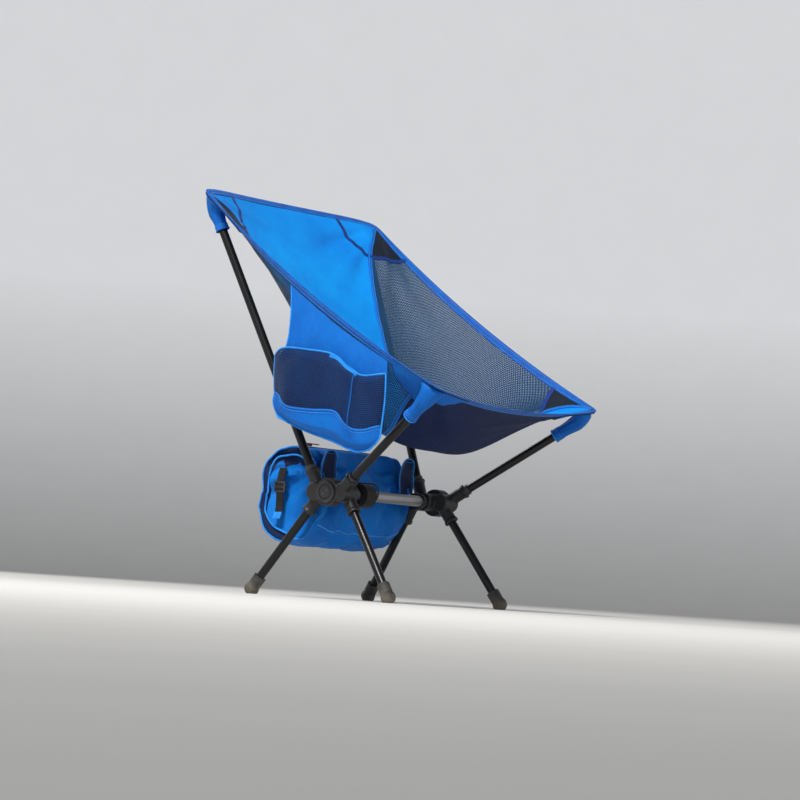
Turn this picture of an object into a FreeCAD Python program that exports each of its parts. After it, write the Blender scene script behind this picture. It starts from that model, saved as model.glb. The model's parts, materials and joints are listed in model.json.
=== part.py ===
import FreeCAD, Part

import math
import os

import Sketcher
from FreeCAD import Placement, Rotation, Vector

# Ultralight backpacking chair: two moulded hubs on a crossbar, four legs, four upper
# poles and a taut fabric sling hung from the pole tips by its four corner pockets.
# Millimetres, +Z up, the chair faces -Y. The origin is on the ground under the middle
# of the chair's box. "left" is the sitter's left, +X, and "right" is -X.

DRIVING = [
    # the frame's bars
    ("crossbar_y", -6, "crossbar axis, front to back"),
    ("crossbar_z", 170, "crossbar axis above the ground"),
    ("crossbar_half", 150, "half the crossbar's length"),
    ("crossbar_diameter", 18, "outside of the crossbar"),
    ("crossbar_bore", 15, "inside of the crossbar"),
    ("pole_diameter", 14, "outside of every pole and leg"),
    ("pole_bore", 11.6, "inside of every pole and leg"),
    ("ferrule_bore", 9, "inside of the rear poles' ferrule"),
    ("ferrule_length", 60, "rear poles' ferrule"),
    ("cord_diameter", 2.8, "shock cord"),
    ("leg_cord_length", 70, "shock cord inside a leg"),
    # each pole's axis: where it starts in the hub, and where it ends
    ("rear_pole_root_x", 142, ""),
    ("rear_pole_root_y", 19, ""),
    ("rear_pole_root_z", 170, ""),
    ("rear_pole_end_x", 208, ""),
    ("rear_pole_end_y", 223, ""),
    ("rear_pole_end_z", 621.5, ""),
    ("front_pole_root_x", 147.5, ""),
    ("front_pole_root_y", -25, ""),
    ("front_pole_root_z", 171, ""),
    ("front_pole_end_x", 221.4, ""),
    ("front_pole_end_y", -240, ""),
    ("front_pole_end_z", 324, ""),
    ("rear_leg_root_x", 129, ""),
    ("rear_leg_root_y", 25, ""),
    ("rear_leg_root_z", 170, ""),
    ("rear_leg_end_x", 159.7, ""),
    ("rear_leg_end_y", 131.4, ""),
    ("rear_leg_end_z", 8.5, "centre of the foot's ball"),
    ("front_leg_root_x", 131.3, ""),
    ("front_leg_root_y", -25, ""),
    ("front_leg_root_z", 171, ""),
    ("front_leg_end_x", 156.9, ""),
    ("front_leg_end_y", -139.8, ""),
    ("front_leg_end_z", 8.5, "centre of the foot's ball"),
    # the hubs
    ("hub_outer_x", 160, "outer face of the hub"),
    ("hub_disc_width", 22, "the large disc, along the crossbar"),
    ("hub_disc_diameter", 45, "the large disc"),
    ("hub_neck_length", 30, "the neck on the crossbar's side"),
    ("hub_neck_diameter", 29, "the neck on the crossbar's side"),
    ("hub_boss_diameter", 29, "the bosses under the rear and front sockets"),
    ("hub_boss_width", 37, "the bosses, along the crossbar"),
    ("hub_boss_x", 121, "inner face of the bosses"),
    ("hub_web_height", 25, "web between the bosses"),
    ("rear_boss_y", 22, "axis of the rear boss"),
    ("front_boss_y", -29, "axis of the front boss"),
    ("socket_diameter", 20.5, "outside of a socket"),
    ("socket_rim_diameter", 23.5, "thick rim at a socket's mouth"),
    ("socket_rim_width", 5, "thick rim at a socket's mouth"),
    ("socket_floor", 10, "from a pole's root to its end in the socket"),
    ("socket_mouth", 40, "from a pole's root to its socket's mouth"),
    ("running_clearance", 0.05, "radial, leg in socket"),
    ("cap_diameter", 36, "plain cap on the hub's outer face"),
    ("cap_thickness", 4, "plain cap on the hub's outer face"),
    ("crossbar_collar_x", 97, "inner face of the crossbar's collars"),
    ("crossbar_collar_width", 6, "crossbar's collars"),
    ("crossbar_collar_diameter", 23, "crossbar's collars"),
    ("pole_collar_diameter", 18, "stop ring on each upper pole"),
    ("pole_collar_width", 6, "stop ring on each upper pole"),
    ("foot_diameter", 21, "rubber foot"),
    ("foot_grip", 24, "how far a foot reaches up its leg"),
    ("foot_ball_diameter", 24, "ball end of the foot"),
    ("tip_diameter", 15.2, "plastic tip of an upper pole"),
    ("tip_length", 4, "tip beyond the pole's end"),
    ("tip_stem", 14, "tip inside the pole"),
    # the corner pockets
    ("pocket_bore", 16.8, "inside of a corner pocket"),
    ("pocket_mouth_diameter", 21, "outside, at the mouth"),
    ("pocket_crown_diameter", 30, "outside, over the pole's tip"),
    ("pocket_neck_diameter", 27, "where the fabric corner leaves the crown"),
    ("rear_pocket_depth", 38, "grip on the rear pole"),
    ("front_pocket_depth", 58, "grip on the front pole"),
    ("pocket_crown_gap", 6, "from the pole's end to the pocket's inside end"),
    ("pocket_lobe_diameter", 14, "rounded fabric corner beyond the pocket"),
    # the fabric's outline: corners of the sling and middles of its two hems
    ("rear_corner_x", 238, ""),
    ("rear_corner_y", 224, ""),
    ("rear_corner_z", 648, ""),
    ("front_corner_x", 233, ""),
    ("front_corner_y", -260, ""),
    ("front_corner_z", 336, ""),
    ("top_middle_y", 260, ""),
    ("top_middle_z", 652, ""),
    ("front_middle_y", -256, ""),
    ("front_middle_z", 318, ""),
    ("hem_bow", 16, "sag of a side hem, square to its chord"),
    # the three inner control points of the sling's centre line
    ("back_control_y", 159, ""),
    ("back_control_z", 540, ""),
    ("seat_control_y", -141, ""),
    ("seat_control_z", 85, ""),
    ("thigh_control_y", -51, ""),
    ("thigh_control_z", 250, ""),
    ("section_power_ends", 2.2, "how square the section is at the two hems"),
    ("section_power_middle", 3.4, "how square the section is half way"),
    ("waist_half_width", 75, "solid panel at its narrowest"),
    ("waist_place", 0.4, "where that is along the sling, 0 top to 1 front"),
    ("cloth_thickness", 1.6, "solid panels and patches"),
    ("mesh_thickness", 1.2, "mesh panels"),
    ("hem_thickness", 3, "folded and stitched hems"),
    ("hem_width", 12, "folded and stitched hems"),
    ("patch_radius", 95, "quarter-round corner patches"),
    ("seam_gap", 0.4, "between sewn neighbours"),
    # the side pocket, on the sitter's right
    ("pouch_back_x", 228.5, "outer face of the pouch's back sheet"),
    ("pouch_front_x", 242, "outer face of the pouch"),
    ("pouch_sheet", 1.2, "thickness of the pouch's sheets"),
    ("pouch_rear_y", 50, ""),
    ("pouch_front_y", -156, ""),
    ("pouch_mouth_z", 380, "mouth of the pouch, from its rear to its middle"),
    ("pouch_front_mouth_z", 358, "mouth of the pouch at its front"),
    ("pouch_base_z", 296, "where the mesh meets the solid base"),
    ("pouch_bottom_z", 234, ""),
    ("pouch_corner", 34, "cut-off of the pouch's lower corners"),
    ("pouch_tuck", 7, "from the sling down to the top of the back sheet"),
    # the carry bag behind the crossbar
    ("bag_half_length", 120, "along the crossbar"),
    ("bag_front_y", 36, ""),
    ("bag_rear_y", 150, ""),
    ("bag_bottom_z", 90, ""),
    ("bag_top_z", 244, ""),
    ("bag_sheet", 1.5, "the bag's skin"),
    ("bag_corner_radius", 52, "rounding along the bag"),
    ("bag_end_radius", 26, "rounding of the bag's ends"),
    ("zip_half_length", 96, ""),
    ("zip_tape_width", 26, ""),
    ("zip_tape_thickness", 1.4, ""),
    ("zip_teeth_width", 5, ""),
    ("slider_start", 4, "from the tape's end to the parked slider"),
    ("slider_length", 11, ""),
    ("slider_width", 9, ""),
    ("slider_height", 5, ""),
    ("slider_clearance", 0.3, "round the teeth"),
    ("pull_length", 24, ""),
    ("pull_width", 6, ""),
    ("pull_thickness", 1.6, ""),
    ("pull_overlap", 3, "of the pull on the slider"),
    ("tab_x", 108, "middle of each bag tab"),
    ("tab_width", 38, ""),
    ("tab_bottom_z", 182, ""),
    ("tab_top_z", 240, ""),
    ("tab_thickness", 3, ""),
    ("wrap_x", -62, "middle of the strap wrapped on the crossbar"),
    ("wrap_width", 30, ""),
    ("wrap_diameter", 42, ""),
    ("loop_x", -40, "plane of the cord loop on the crossbar"),
    ("loop_radius", 16, ""),
    ("loop_clearance", 0.4, "from the cord loop to the crossbar"),
    ("webbing_y", 115, "middle of the webbing strap"),
    ("webbing_width", 16, ""),
    ("webbing_thickness", 2, ""),
    ("webbing_length", 60, ""),
    ("buckle_height", 18, ""),
    ("buckle_bar", 3, "bars and sides of the ladder buckle"),
    ("buckle_slot", 4.5, "height of each of its two slots"),
]

document = FreeCAD.newDocument("BackpackingChair")
sheet = document.addObject("Spreadsheet::Sheet", "Dimensions")
for row, (alias, value, meaning) in enumerate(DRIVING, 1):
    sheet.set(f"A{row}", alias.replace("_", " "))
    sheet.set(f"B{row}", str(value))
    sheet.setAlias(f"B{row}", alias)
    sheet.set(f"C{row}", meaning)
document.recompute()

SIDES = {"left": 1, "right": -1}
ENDS = ("front", "rear")
sub_parts = []


# ---- helpers ---------------------------------------------------------------------


def size(alias):
    return float(sheet.get(alias))


def cell(alias):
    return "Dimensions." + alias


def half(alias):
    return cell(alias) + " / 2"


def point(name, side=1):
    return Vector(side * size(name + "_x"), size(name + "_y"), size(name + "_z"))


def span(first, second):
    """Expression for the distance between two named points of the sheet."""
    squares = [f"({cell(first)}_{a} - {cell(second)}_{a})^2" for a in "xyz"]
    return "sqrt(" + " + ".join(squares) + ")"


def direction(pole, side):
    way = point(pole + "_end", side) - point(pole + "_root", side)
    return way.normalize()


def pole_length(pole):
    return (point(pole + "_end") - point(pole + "_root")).Length


def along(pole, side, distance):
    """Placement on a pole's axis, +Z pointing away from the hub."""
    way = direction(pole, side)
    start = point(pole + "_root", side)
    return Placement(start + way * distance, Rotation(Vector(0, 0, 1), way))


def across(x, y, z, side=1):
    """Placement with +Z turned to point outwards along the crossbar."""
    return Placement(Vector(side * x, y, z), Rotation(Vector(0, 1, 0), 90 * side))


def keep(label, item):
    item.Label = label
    sub_parts.append((label, item))
    return item


def primitive(kind, name, placement, **sizes):
    item = document.addObject("Part::" + kind, name)
    item.Placement = placement
    for key, expression in sizes.items():
        item.setExpression(key, expression)
    return item


def fuse(name, pieces):
    item = document.addObject("Part::MultiFuse", name)
    item.Shapes = pieces
    return item


def cut(name, base, tools):
    tool = tools[0] if len(tools) == 1 else fuse(name + "_tools", tools)
    item = document.addObject("Part::Cut", name)
    item.Base = base
    item.Tool = tool
    return item


def new_body(name, placement):
    body = document.addObject("PartDesign::Body", name)
    body.Placement = placement
    return body


def new_sketch(body, name, role):
    plane = next(item for item in body.Origin.OriginFeatures if item.Role == role)
    sketch = body.newObject("Sketcher::SketchObject", name)
    sketch.AttachmentSupport = [(plane, "")]
    sketch.MapMode = "FlatFace"
    return sketch


def add_ring(sketch, diameter):
    """Circle about the sketch's origin, with its diameter bound to the sheet."""
    index = sketch.addGeometry(Part.Circle(Vector(), Vector(0, 0, 1), 5), False)
    sketch.addConstraint(Sketcher.Constraint("Coincident", index, 3, -1, 1))
    limit = sketch.addConstraint(Sketcher.Constraint("Diameter", index, 10))
    sketch.setExpression(f"Constraints[{limit}]", diameter)


def add_pad(body, sketch, length, symmetric=False):
    pad = body.newObject("PartDesign::Pad", sketch.Name + "_pad")
    pad.Profile = sketch
    if symmetric:
        pad.SideType = "Symmetric"
    pad.setExpression("Length", length)
    body.Tip = pad
    return pad


def tube(label, placement, outside, inside, length):
    body = new_body(label, placement)
    sketch = new_sketch(body, label + "_ring", "XY_Plane")
    add_ring(sketch, outside)
    if inside:
        add_ring(sketch, inside)
    add_pad(body, sketch, length)
    return keep(label, body)


def shape_part(label, shape):
    item = document.addObject("Part::Feature", label)
    item.Shape = shape
    item.Placement = Placement()
    return keep(label, item)


# ---- crossbar and hubs -----------------------------------------------------------


def crossbar():
    place = across(-size("crossbar_half"), size("crossbar_y"), size("crossbar_z"))
    outside = cell("crossbar_diameter")
    tube("crossbar", place, outside, cell("crossbar_bore"), cell("crossbar_half") + " * 2")
    for name, side in SIDES.items():
        place = across(size("crossbar_collar_x"), size("crossbar_y"), size("crossbar_z"), side)
        ring = cell("crossbar_collar_diameter")
        width = cell("crossbar_collar_width")
        tube(f"crossbar_collar_{name}", place, ring, outside, width)


def hub():
    """Moulded hub on the sitter's left: a disc, a neck and four sockets round two bosses."""
    y = size("crossbar_y")
    z = size("crossbar_z")
    disc_x = size("hub_outer_x") - size("hub_disc_width")
    neck_x = disc_x - size("hub_neck_length")
    boss_x = size("hub_boss_x")
    solids = [
        primitive("Cylinder", "hub_disc", across(disc_x, y, z),
                  Radius=half("hub_disc_diameter"), Height=cell("hub_disc_width")),
        primitive("Cylinder", "hub_neck", across(neck_x, y, z),
                  Radius=half("hub_neck_diameter"), Height=cell("hub_neck_length")),
    ]
    for end in ENDS:
        solids.append(primitive("Cylinder", f"hub_{end}_boss", across(boss_x, size(end + "_boss_y"), z),
                                Radius=half("hub_boss_diameter"), Height=cell("hub_boss_width")))
    web_low = Vector(boss_x, size("front_boss_y"), z - size("hub_web_height") / 2)
    solids.append(primitive("Box", "hub_web", Placement(web_low, Rotation()),
                            Length=cell("hub_boss_width"), Height=cell("hub_web_height"),
                            Width=f"{cell('rear_boss_y')} - {cell('front_boss_y')}"))
    holes = [primitive("Cylinder", "hub_bar_hole", across(0, y, z),
                       Radius=half("crossbar_diameter"), Height=cell("crossbar_half"))]
    rim_start = size("socket_mouth") - size("socket_rim_width")
    for pole in ("rear_pole", "front_pole", "rear_leg", "front_leg"):
        solids.append(primitive("Cylinder", f"hub_{pole}_socket", along(pole, 1, 0),
                                Radius=half("socket_diameter"), Height=cell("socket_mouth")))
        solids.append(primitive("Cylinder", f"hub_{pole}_rim", along(pole, 1, rim_start),
                                Radius=half("socket_rim_diameter"), Height=cell("socket_rim_width")))
        clearance = " + " + cell("running_clearance") if pole.endswith("leg") else ""
        holes.append(primitive("Cylinder", f"hub_{pole}_hole", along(pole, 1, size("socket_floor")),
                               Radius=half("pole_diameter") + clearance, Height=cell("socket_mouth")))
    left = cut("hub_left", fuse("hub_solid", solids), holes)
    keep("hub_left", left)
    right = document.addObject("Part::Mirroring", "hub_right")
    right.Source = left
    right.Base = Vector()
    right.Normal = Vector(1, 0, 0)
    keep("hub_right", right)
    for name, side in SIDES.items():
        label = f"hub_cap_{name}"
        keep(label, primitive("Cone", label, across(size("hub_outer_x"), y, z, side),
                              Radius1=half("cap_diameter"), Height=cell("cap_thickness"),
                              Radius2=f"{half('cap_diameter')} - {cell('cap_thickness')}"))


# ---- poles, legs and feet --------------------------------------------------------


def upper_pole(end, name, side):
    pole = f"{end}_pole"
    floor = size("socket_floor")
    length = span(pole + "_root", pole + "_end")
    label = f"{pole}_{name}"
    outside = cell("pole_diameter")
    inside = cell("pole_bore")
    if end == "front":
        tube(label, along(pole, side, floor), outside, inside, f"{length} - {cell('socket_floor')}")
    else:
        half_way = pole_length(pole) / 2
        tube(label + "_lower", along(pole, side, floor), outside, inside,
             f"{length} / 2 - {cell('socket_floor')}")
        tube(label + "_upper", along(pole, side, half_way), outside, inside, f"{length} / 2")
        grip = size("ferrule_length") / 2
        tube(label + "_ferrule", along(pole, side, half_way - grip), inside,
             cell("ferrule_bore"), cell("ferrule_length"))
    end_at = pole_length(pole)
    cap = primitive("Cylinder", label + "_tip_cap", along(pole, side, end_at),
                    Radius=half("tip_diameter"), Height=cell("tip_length"))
    stem = primitive("Cylinder", label + "_tip_stem", along(pole, side, end_at - size("tip_stem")),
                     Radius=half("pole_bore"), Height=cell("tip_stem"))
    keep(f"{end}_pole_tip_{name}", fuse(f"{end}_pole_tip_{name}", [cap, stem]))


def pole_collars():
    """Four identical stop rings, one on each upper pole at its socket's mouth."""
    rings = []
    for end in ENDS:
        pole = f"{end}_pole"
        for name, side in SIDES.items():
            body = new_body(f"{pole}_{name}_collar", along(pole, side, size("socket_mouth")))
            sketch = new_sketch(body, f"{pole}_{name}_collar_ring", "XY_Plane")
            add_ring(sketch, cell("pole_collar_diameter"))
            add_ring(sketch, cell("pole_diameter"))
            add_pad(body, sketch, cell("pole_collar_width"))
            rings.append(body)
    group = document.addObject("Part::Compound", "pole_collars")
    group.Links = rings
    keep("pole_collars", group)


def upper_shock_cords():
    """The cords inside the four upper poles, from their sockets to their tips."""
    cords = []
    for end in ENDS:
        pole = f"{end}_pole"
        length = f"{span(pole + '_root', pole + '_end')} - {cell('socket_floor')} - {cell('tip_stem')}"
        for name, side in SIDES.items():
            cords.append(primitive("Cylinder", f"{pole}_{name}_cord",
                                   along(pole, side, size("socket_floor")),
                                   Radius=half("cord_diameter"), Height=length))
    group = document.addObject("Part::Compound", "upper_shock_cords")
    group.Links = cords
    keep("upper_shock_cords", group)


def leg(end, name, side):
    pole = f"{end}_leg"
    length = span(pole + "_root", pole + "_end")
    label = f"{pole}_{name}"
    tube(label, along(pole, side, size("socket_floor") + size("seam_gap")),
         cell("pole_diameter"), cell("pole_bore"),
         f"{length} - {cell('socket_floor')} - {cell('seam_gap')}")
    tube(f"{label}_shock_cord", along(pole, side, size("socket_floor") + 1),
         cell("cord_diameter"), None, cell("leg_cord_length"))
    ball_at = pole_length(pole)
    grip_at = ball_at - size("foot_grip")
    sleeve = primitive("Cylinder", label + "_foot_sleeve", along(pole, side, grip_at),
                       Radius=half("foot_diameter"), Height=cell("foot_grip"))
    ball = primitive("Sphere", label + "_foot_ball", along(pole, side, ball_at),
                     Radius=half("foot_ball_diameter"))
    hole = primitive("Cylinder", label + "_foot_hole", along(pole, side, grip_at),
                     Radius=half("pole_diameter"), Height=cell("foot_grip"))
    reach = 2 * size("foot_ball_diameter")
    middle = point(pole + "_end", side)
    ground = primitive("Box", label + "_ground",
                       Placement(Vector(middle.x - reach / 2, middle.y - reach / 2, -reach), Rotation()),
                       Length=f"2 * {cell('foot_ball_diameter')}",
                       Width=f"2 * {cell('foot_ball_diameter')}",
                       Height=f"2 * {cell('foot_ball_diameter')}")
    foot = f"{end}_foot_{name}"
    keep(foot, cut(foot, fuse(foot + "_solid", [sleeve, ball]), [hole, ground]))


# ---- the sling's surface ---------------------------------------------------------


def side_hem_point(place):
    """Edge of the sling on the left, from the rear corner (0) to the front corner (1)."""
    rear = point("rear_corner")
    chord = point("front_corner") - rear
    square = Vector(0, -chord.z, chord.y).normalize()
    sag = square * (size("hem_bow") * 4 * place * (1 - place))
    return rear + chord * place + sag


def centre_point(place):
    """Quartic Bezier curve down the middle of the sling."""
    controls = [Vector(0, size(name + "_y"), size(name + "_z")) for name in
                ("top_middle", "back_control", "seat_control", "thigh_control", "front_middle")]
    total = Vector()
    for order, control in enumerate(controls):
        weight = math.comb(4, order) * place**order * (1 - place) ** (4 - order)
        total += control * weight
    return total


def section_power(place):
    ends = size("section_power_ends")
    return ends + (size("section_power_middle") - ends) * math.sin(math.pi * place)


def sling_point(x, place):
    """Point of the sling at a distance x from the middle plane."""
    edge = side_hem_point(place)
    middle = centre_point(place)
    blend = (abs(x) / edge.x) ** section_power(place)
    spot = middle + (edge - middle) * blend
    return Vector(x, spot.y, spot.z)


def sling_normal(x, place):
    """Unit normal on the underside of the sling."""
    step = 0.5
    nudge = 0.001
    before = max(place - nudge, 0)
    after = min(place + nudge, 1)
    along_x = sling_point(x + step, place) - sling_point(x - step, place)
    along_place = sling_point(x, after) - sling_point(x, before)
    return along_x.cross(along_place).normalize() * -1


def edge_x(place):
    return side_hem_point(place).x


def hem_inner_x(place):
    edge = side_hem_point(place)
    drop = (edge - centre_point(place)).cross(Vector(1, 0, 0)).Length
    slope = section_power(place) * drop / edge.x
    return edge.x - size("hem_width") / math.sqrt(1 + slope**2)


def seam_x(place):
    """Half width of the solid panel: corner to waist to corner, as a hyperbola."""
    waist = size("waist_half_width")
    waist_place = size("waist_place")
    if place < waist_place:
        corner = size("rear_corner_x")
        reach = waist_place
    else:
        corner = size("front_corner_x")
        reach = 1 - waist_place
    rate = math.sqrt(corner**2 - waist**2) / reach
    return math.hypot(waist, rate * (place - waist_place))


HEM_SHARE = 0.02  # share of the sling's length taken by the top and front hems
HEM_GAP = 0.001  # the same for the seam between a hem and the panel


def sling_sheet(low_x, high_x, first, last, thickness, sections=16, columns=14):
    """Thin closed solid of the sling between two edges x(place)."""
    upper = []
    lower = []
    for row in range(sections + 1):
        place = first + (last - first) * row / sections
        low = low_x(place)
        high = high_x(place)
        upper_row = []
        lower_row = []
        for column in range(columns + 1):
            x = low + (high - low) * column / columns
            spot = sling_point(x, place)
            offset = sling_normal(x, place) * (thickness / 2)
            upper_row.append(spot - offset)
            lower_row.append(spot + offset)
        upper.append(upper_row)
        lower.append(lower_row)
    faces = []
    for grid in (upper, lower):
        surface = Part.BSplineSurface()
        surface.interpolate(grid)
        faces.append(surface.toShape())
    rims = [Part.makeRuledSurface(*edges) for edges in zip(faces[0].Edges, faces[1].Edges)]
    shell = Part.makeShell(faces + rims)
    shell.sewShape()
    solid = Part.makeSolid(shell)
    if solid.Volume < 0:
        solid.reverse()
    return solid


def mirrored(shape, side):
    if side > 0:
        return shape
    return shape.mirror(Vector(), Vector(1, 0, 0))


def corner_ball(end, side, radius):
    return Part.makeSphere(radius, point(end + "_corner", side))


def sling():
    gap = size("seam_gap")
    cloth = size("cloth_thickness")
    patch = size("patch_radius")
    corners = [corner_ball(end, side, patch + gap) for end in ENDS for side in SIDES.values()]

    panel = sling_sheet(lambda place: gap - seam_x(place), lambda place: seam_x(place) - gap,
                        HEM_SHARE + HEM_GAP, 1 - HEM_SHARE - HEM_GAP, cloth, 20, 20)
    shape_part("seat_panel", panel.cut(corners))

    wing = sling_sheet(seam_x, lambda place: max(hem_inner_x(place) - gap, seam_x(place) + gap),
                       2 * HEM_SHARE, 1 - 2 * HEM_SHARE, size("mesh_thickness"))
    wing = wing.cut(corners)
    hem = sling_sheet(hem_inner_x, edge_x, 2 * HEM_SHARE, 1 - 2 * HEM_SHARE,
                      size("hem_thickness"), 20, 4)
    hem = hem.cut(corners)
    for name, side in SIDES.items():
        shape_part(f"side_mesh_{name}", mirrored(wing, side))
        shape_part(f"side_hem_{name}", mirrored(hem, side))

    top = sling_sheet(lambda place: -edge_x(place), edge_x, 0, HEM_SHARE, size("hem_thickness"), 2, 20)
    shape_part("top_hem", top.cut(corners))
    front = sling_sheet(lambda place: -edge_x(place), edge_x, 1 - HEM_SHARE, 1,
                        size("hem_thickness"), 2, 20)
    shape_part("front_hem", front.cut(corners))

    half_sheets = {
        "rear": sling_sheet(lambda place: 0, edge_x, 0, 0.5, cloth),
        "front": sling_sheet(lambda place: 0, edge_x, 0.5, 1, cloth),
    }
    for end, half_sheet in half_sheets.items():
        patch_shape = half_sheet.common(corner_ball(end, 1, patch))
        for name, side in SIDES.items():
            shape_part(f"{end}_patch_{name}", mirrored(patch_shape, side))


def corner_pocket(end, name, side):
    """Fabric pocket over a pole's tip, rounded out to the sling's corner."""
    pole = f"{end}_pole"
    length = pole_length(pole)
    depth = size(end + "_pocket_depth")
    label = f"{end}_pocket_{name}"
    way = direction(pole, side)
    crown = point(pole + "_end", side) + way * size("pocket_crown_gap")
    lobe = size("pocket_lobe_diameter") / 2
    corner = point(end + "_corner", side)
    inset = (crown - corner).normalize() * lobe
    corner_middle = corner + inset
    sleeve = primitive("Cone", label + "_sleeve", along(pole, side, length - depth),
                       Radius1=half("pocket_mouth_diameter"), Radius2=half("pocket_crown_diameter"),
                       Height=f"{cell(end + '_pocket_depth')} + {cell('pocket_crown_gap')}")
    dome = primitive("Sphere", label + "_dome", Placement(crown, Rotation()),
                     Radius=half("pocket_crown_diameter"))
    neck_way = corner_middle - crown
    neck = primitive("Cone", label + "_neck", Placement(crown, Rotation(Vector(0, 0, 1), neck_way)),
                     Radius1=half("pocket_neck_diameter"),
                     Radius2=half("pocket_lobe_diameter"))
    neck.Height = neck_way.Length
    end_ball = primitive("Sphere", label + "_corner", Placement(corner_middle, Rotation()),
                         Radius=half("pocket_lobe_diameter"))
    bore = primitive("Cylinder", label + "_bore", along(pole, side, length - depth),
                     Radius=half("pocket_bore"),
                     Height=f"{cell(end + '_pocket_depth')} + {cell('pocket_crown_gap')}")
    solid = fuse(label + "_solid", [sleeve, dome, neck, end_ball])
    keep(label, cut(label, solid, [bore]))


# ---- side pocket -----------------------------------------------------------------


def sling_height(x, y):
    """Height of the sling above the ground at a place near its side edge."""
    low = 0.0
    high = 1.0
    for _ in range(30):
        middle = (low + high) / 2
        if sling_point(x, middle).y > y:
            low = middle
        else:
            high = middle
    return sling_point(x, middle).z


def slab(outline, x_outer, thickness):
    """Flat sheet in a plane of constant x, from (y, z) points."""
    corners = [Vector(-x_outer, y, z) for y, z in outline]
    face = Part.Face(Part.makePolygon(corners + corners[:1]))
    return face.extrude(Vector(thickness, 0, 0))


def pouch_outline(inset, rear_top, middle_top, front_top):
    """Outline of the pouch, (y, z), with its two lower corners cut off."""
    rear = size("pouch_rear_y")
    front = size("pouch_front_y")
    bottom = size("pouch_bottom_z")
    corner = size("pouch_corner")
    return [(rear - inset, rear_top), ((rear + front) / 2, middle_top), (front + inset, front_top),
            (front + inset, bottom + corner), (front + corner, bottom + inset),
            (rear - 2 * corner, bottom + inset), (rear - inset, bottom + corner)]


def side_pocket():
    rear = size("pouch_rear_y")
    front = size("pouch_front_y")
    middle = (rear + front) / 2
    mouth = size("pouch_mouth_z")
    base = size("pouch_base_z")
    back_x = size("pouch_back_x")
    front_x = size("pouch_front_x")
    thin = size("pouch_sheet")
    tuck = size("pouch_tuck")

    sewn_edge = [sling_height(back_x, y) - tuck for y in (rear, middle, front)]
    shape_part("side_pocket_back", slab(pouch_outline(0, *sewn_edge), back_x, thin))

    front_mouth = size("pouch_front_mouth_z")
    outer = slab(pouch_outline(0, mouth, mouth, front_mouth), front_x, front_x - back_x)
    above = mouth + rear - front
    inner = slab(pouch_outline(thin, above, above, above), front_x - thin, front_x - back_x)
    pouch = outer.cut(inner)
    below = Part.makeBox(2 * front_x, 2 * (rear - front), base,
                         Vector(-2 * front_x, 2 * front, 0))
    shape_part("side_pocket_base", pouch.common(below))
    shape_part("side_pocket_mesh", pouch.cut(below))


# ---- carry bag and its straps ----------------------------------------------------


def bag_block(name, inset):
    """Rounded block, its sizes those of the bag less an inset on every side."""
    middle_y = (size("bag_front_y") + size("bag_rear_y")) / 2
    middle_z = (size("bag_bottom_z") + size("bag_top_z")) / 2
    body = new_body(name, Placement(Vector(0, middle_y, middle_z), Rotation()))
    sketch = new_sketch(body, name + "_outline", "YZ_Plane")
    half_y = (size("bag_rear_y") - size("bag_front_y")) / 2
    half_z = (size("bag_top_z") - size("bag_bottom_z")) / 2
    corners = [Vector(-half_y, -half_z, 0), Vector(half_y, -half_z, 0),
               Vector(half_y, half_z, 0), Vector(-half_y, half_z, 0)]
    for index in range(4):
        sketch.addGeometry(Part.LineSegment(corners[index], corners[(index + 1) % 4]), False)
    for index in range(4):
        sketch.addConstraint(Sketcher.Constraint("Coincident", index, 2, (index + 1) % 4, 1))
    for index, kind in enumerate(("Horizontal", "Vertical", "Horizontal", "Vertical")):
        sketch.addConstraint(Sketcher.Constraint(kind, index))
    sketch.addConstraint(Sketcher.Constraint("Symmetric", 0, 1, 1, 2, -1, 1))
    width = sketch.addConstraint(Sketcher.Constraint("DistanceX", 0, 1, 0, 2, 2 * half_y))
    height = sketch.addConstraint(Sketcher.Constraint("DistanceY", 1, 1, 1, 2, 2 * half_z))
    less = f" - 2 * {inset}"
    sketch.setExpression(f"Constraints[{width}]",
                         f"{cell('bag_rear_y')} - {cell('bag_front_y')}{less}")
    sketch.setExpression(f"Constraints[{height}]",
                         f"{cell('bag_top_z')} - {cell('bag_bottom_z')}{less}")
    pad = add_pad(body, sketch, f"2 * {cell('bag_half_length')}{less}", symmetric=True)
    document.recompute()
    long_edges = [f"Edge{number}" for number, edge in enumerate(pad.Shape.Edges, 1)
                  if abs(edge.tangentAt(edge.FirstParameter).x) > 0.9]
    sides = body.newObject("PartDesign::Fillet", name + "_sides")
    sides.Base = (pad, long_edges)
    sides.setExpression("Radius", f"{cell('bag_corner_radius')} - {inset}")
    document.recompute()
    end_faces = [f"Face{number}" for number, face in enumerate(sides.Shape.Faces, 1)
                 if abs(face.normalAt(0, 0).x) > 0.9]
    ends = body.newObject("PartDesign::Fillet", name + "_ends")
    ends.Base = (sides, end_faces)
    ends.setExpression("Radius", f"{cell('bag_end_radius')} - {inset}")
    body.Tip = ends
    return body


def storage_bag():
    """The bag is a closed skin round an empty middle."""
    outside = bag_block("bag_outside", "0")
    inside = bag_block("bag_inside", cell("bag_sheet"))
    keep("storage_bag", cut("storage_bag", outside, [inside]))


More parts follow.
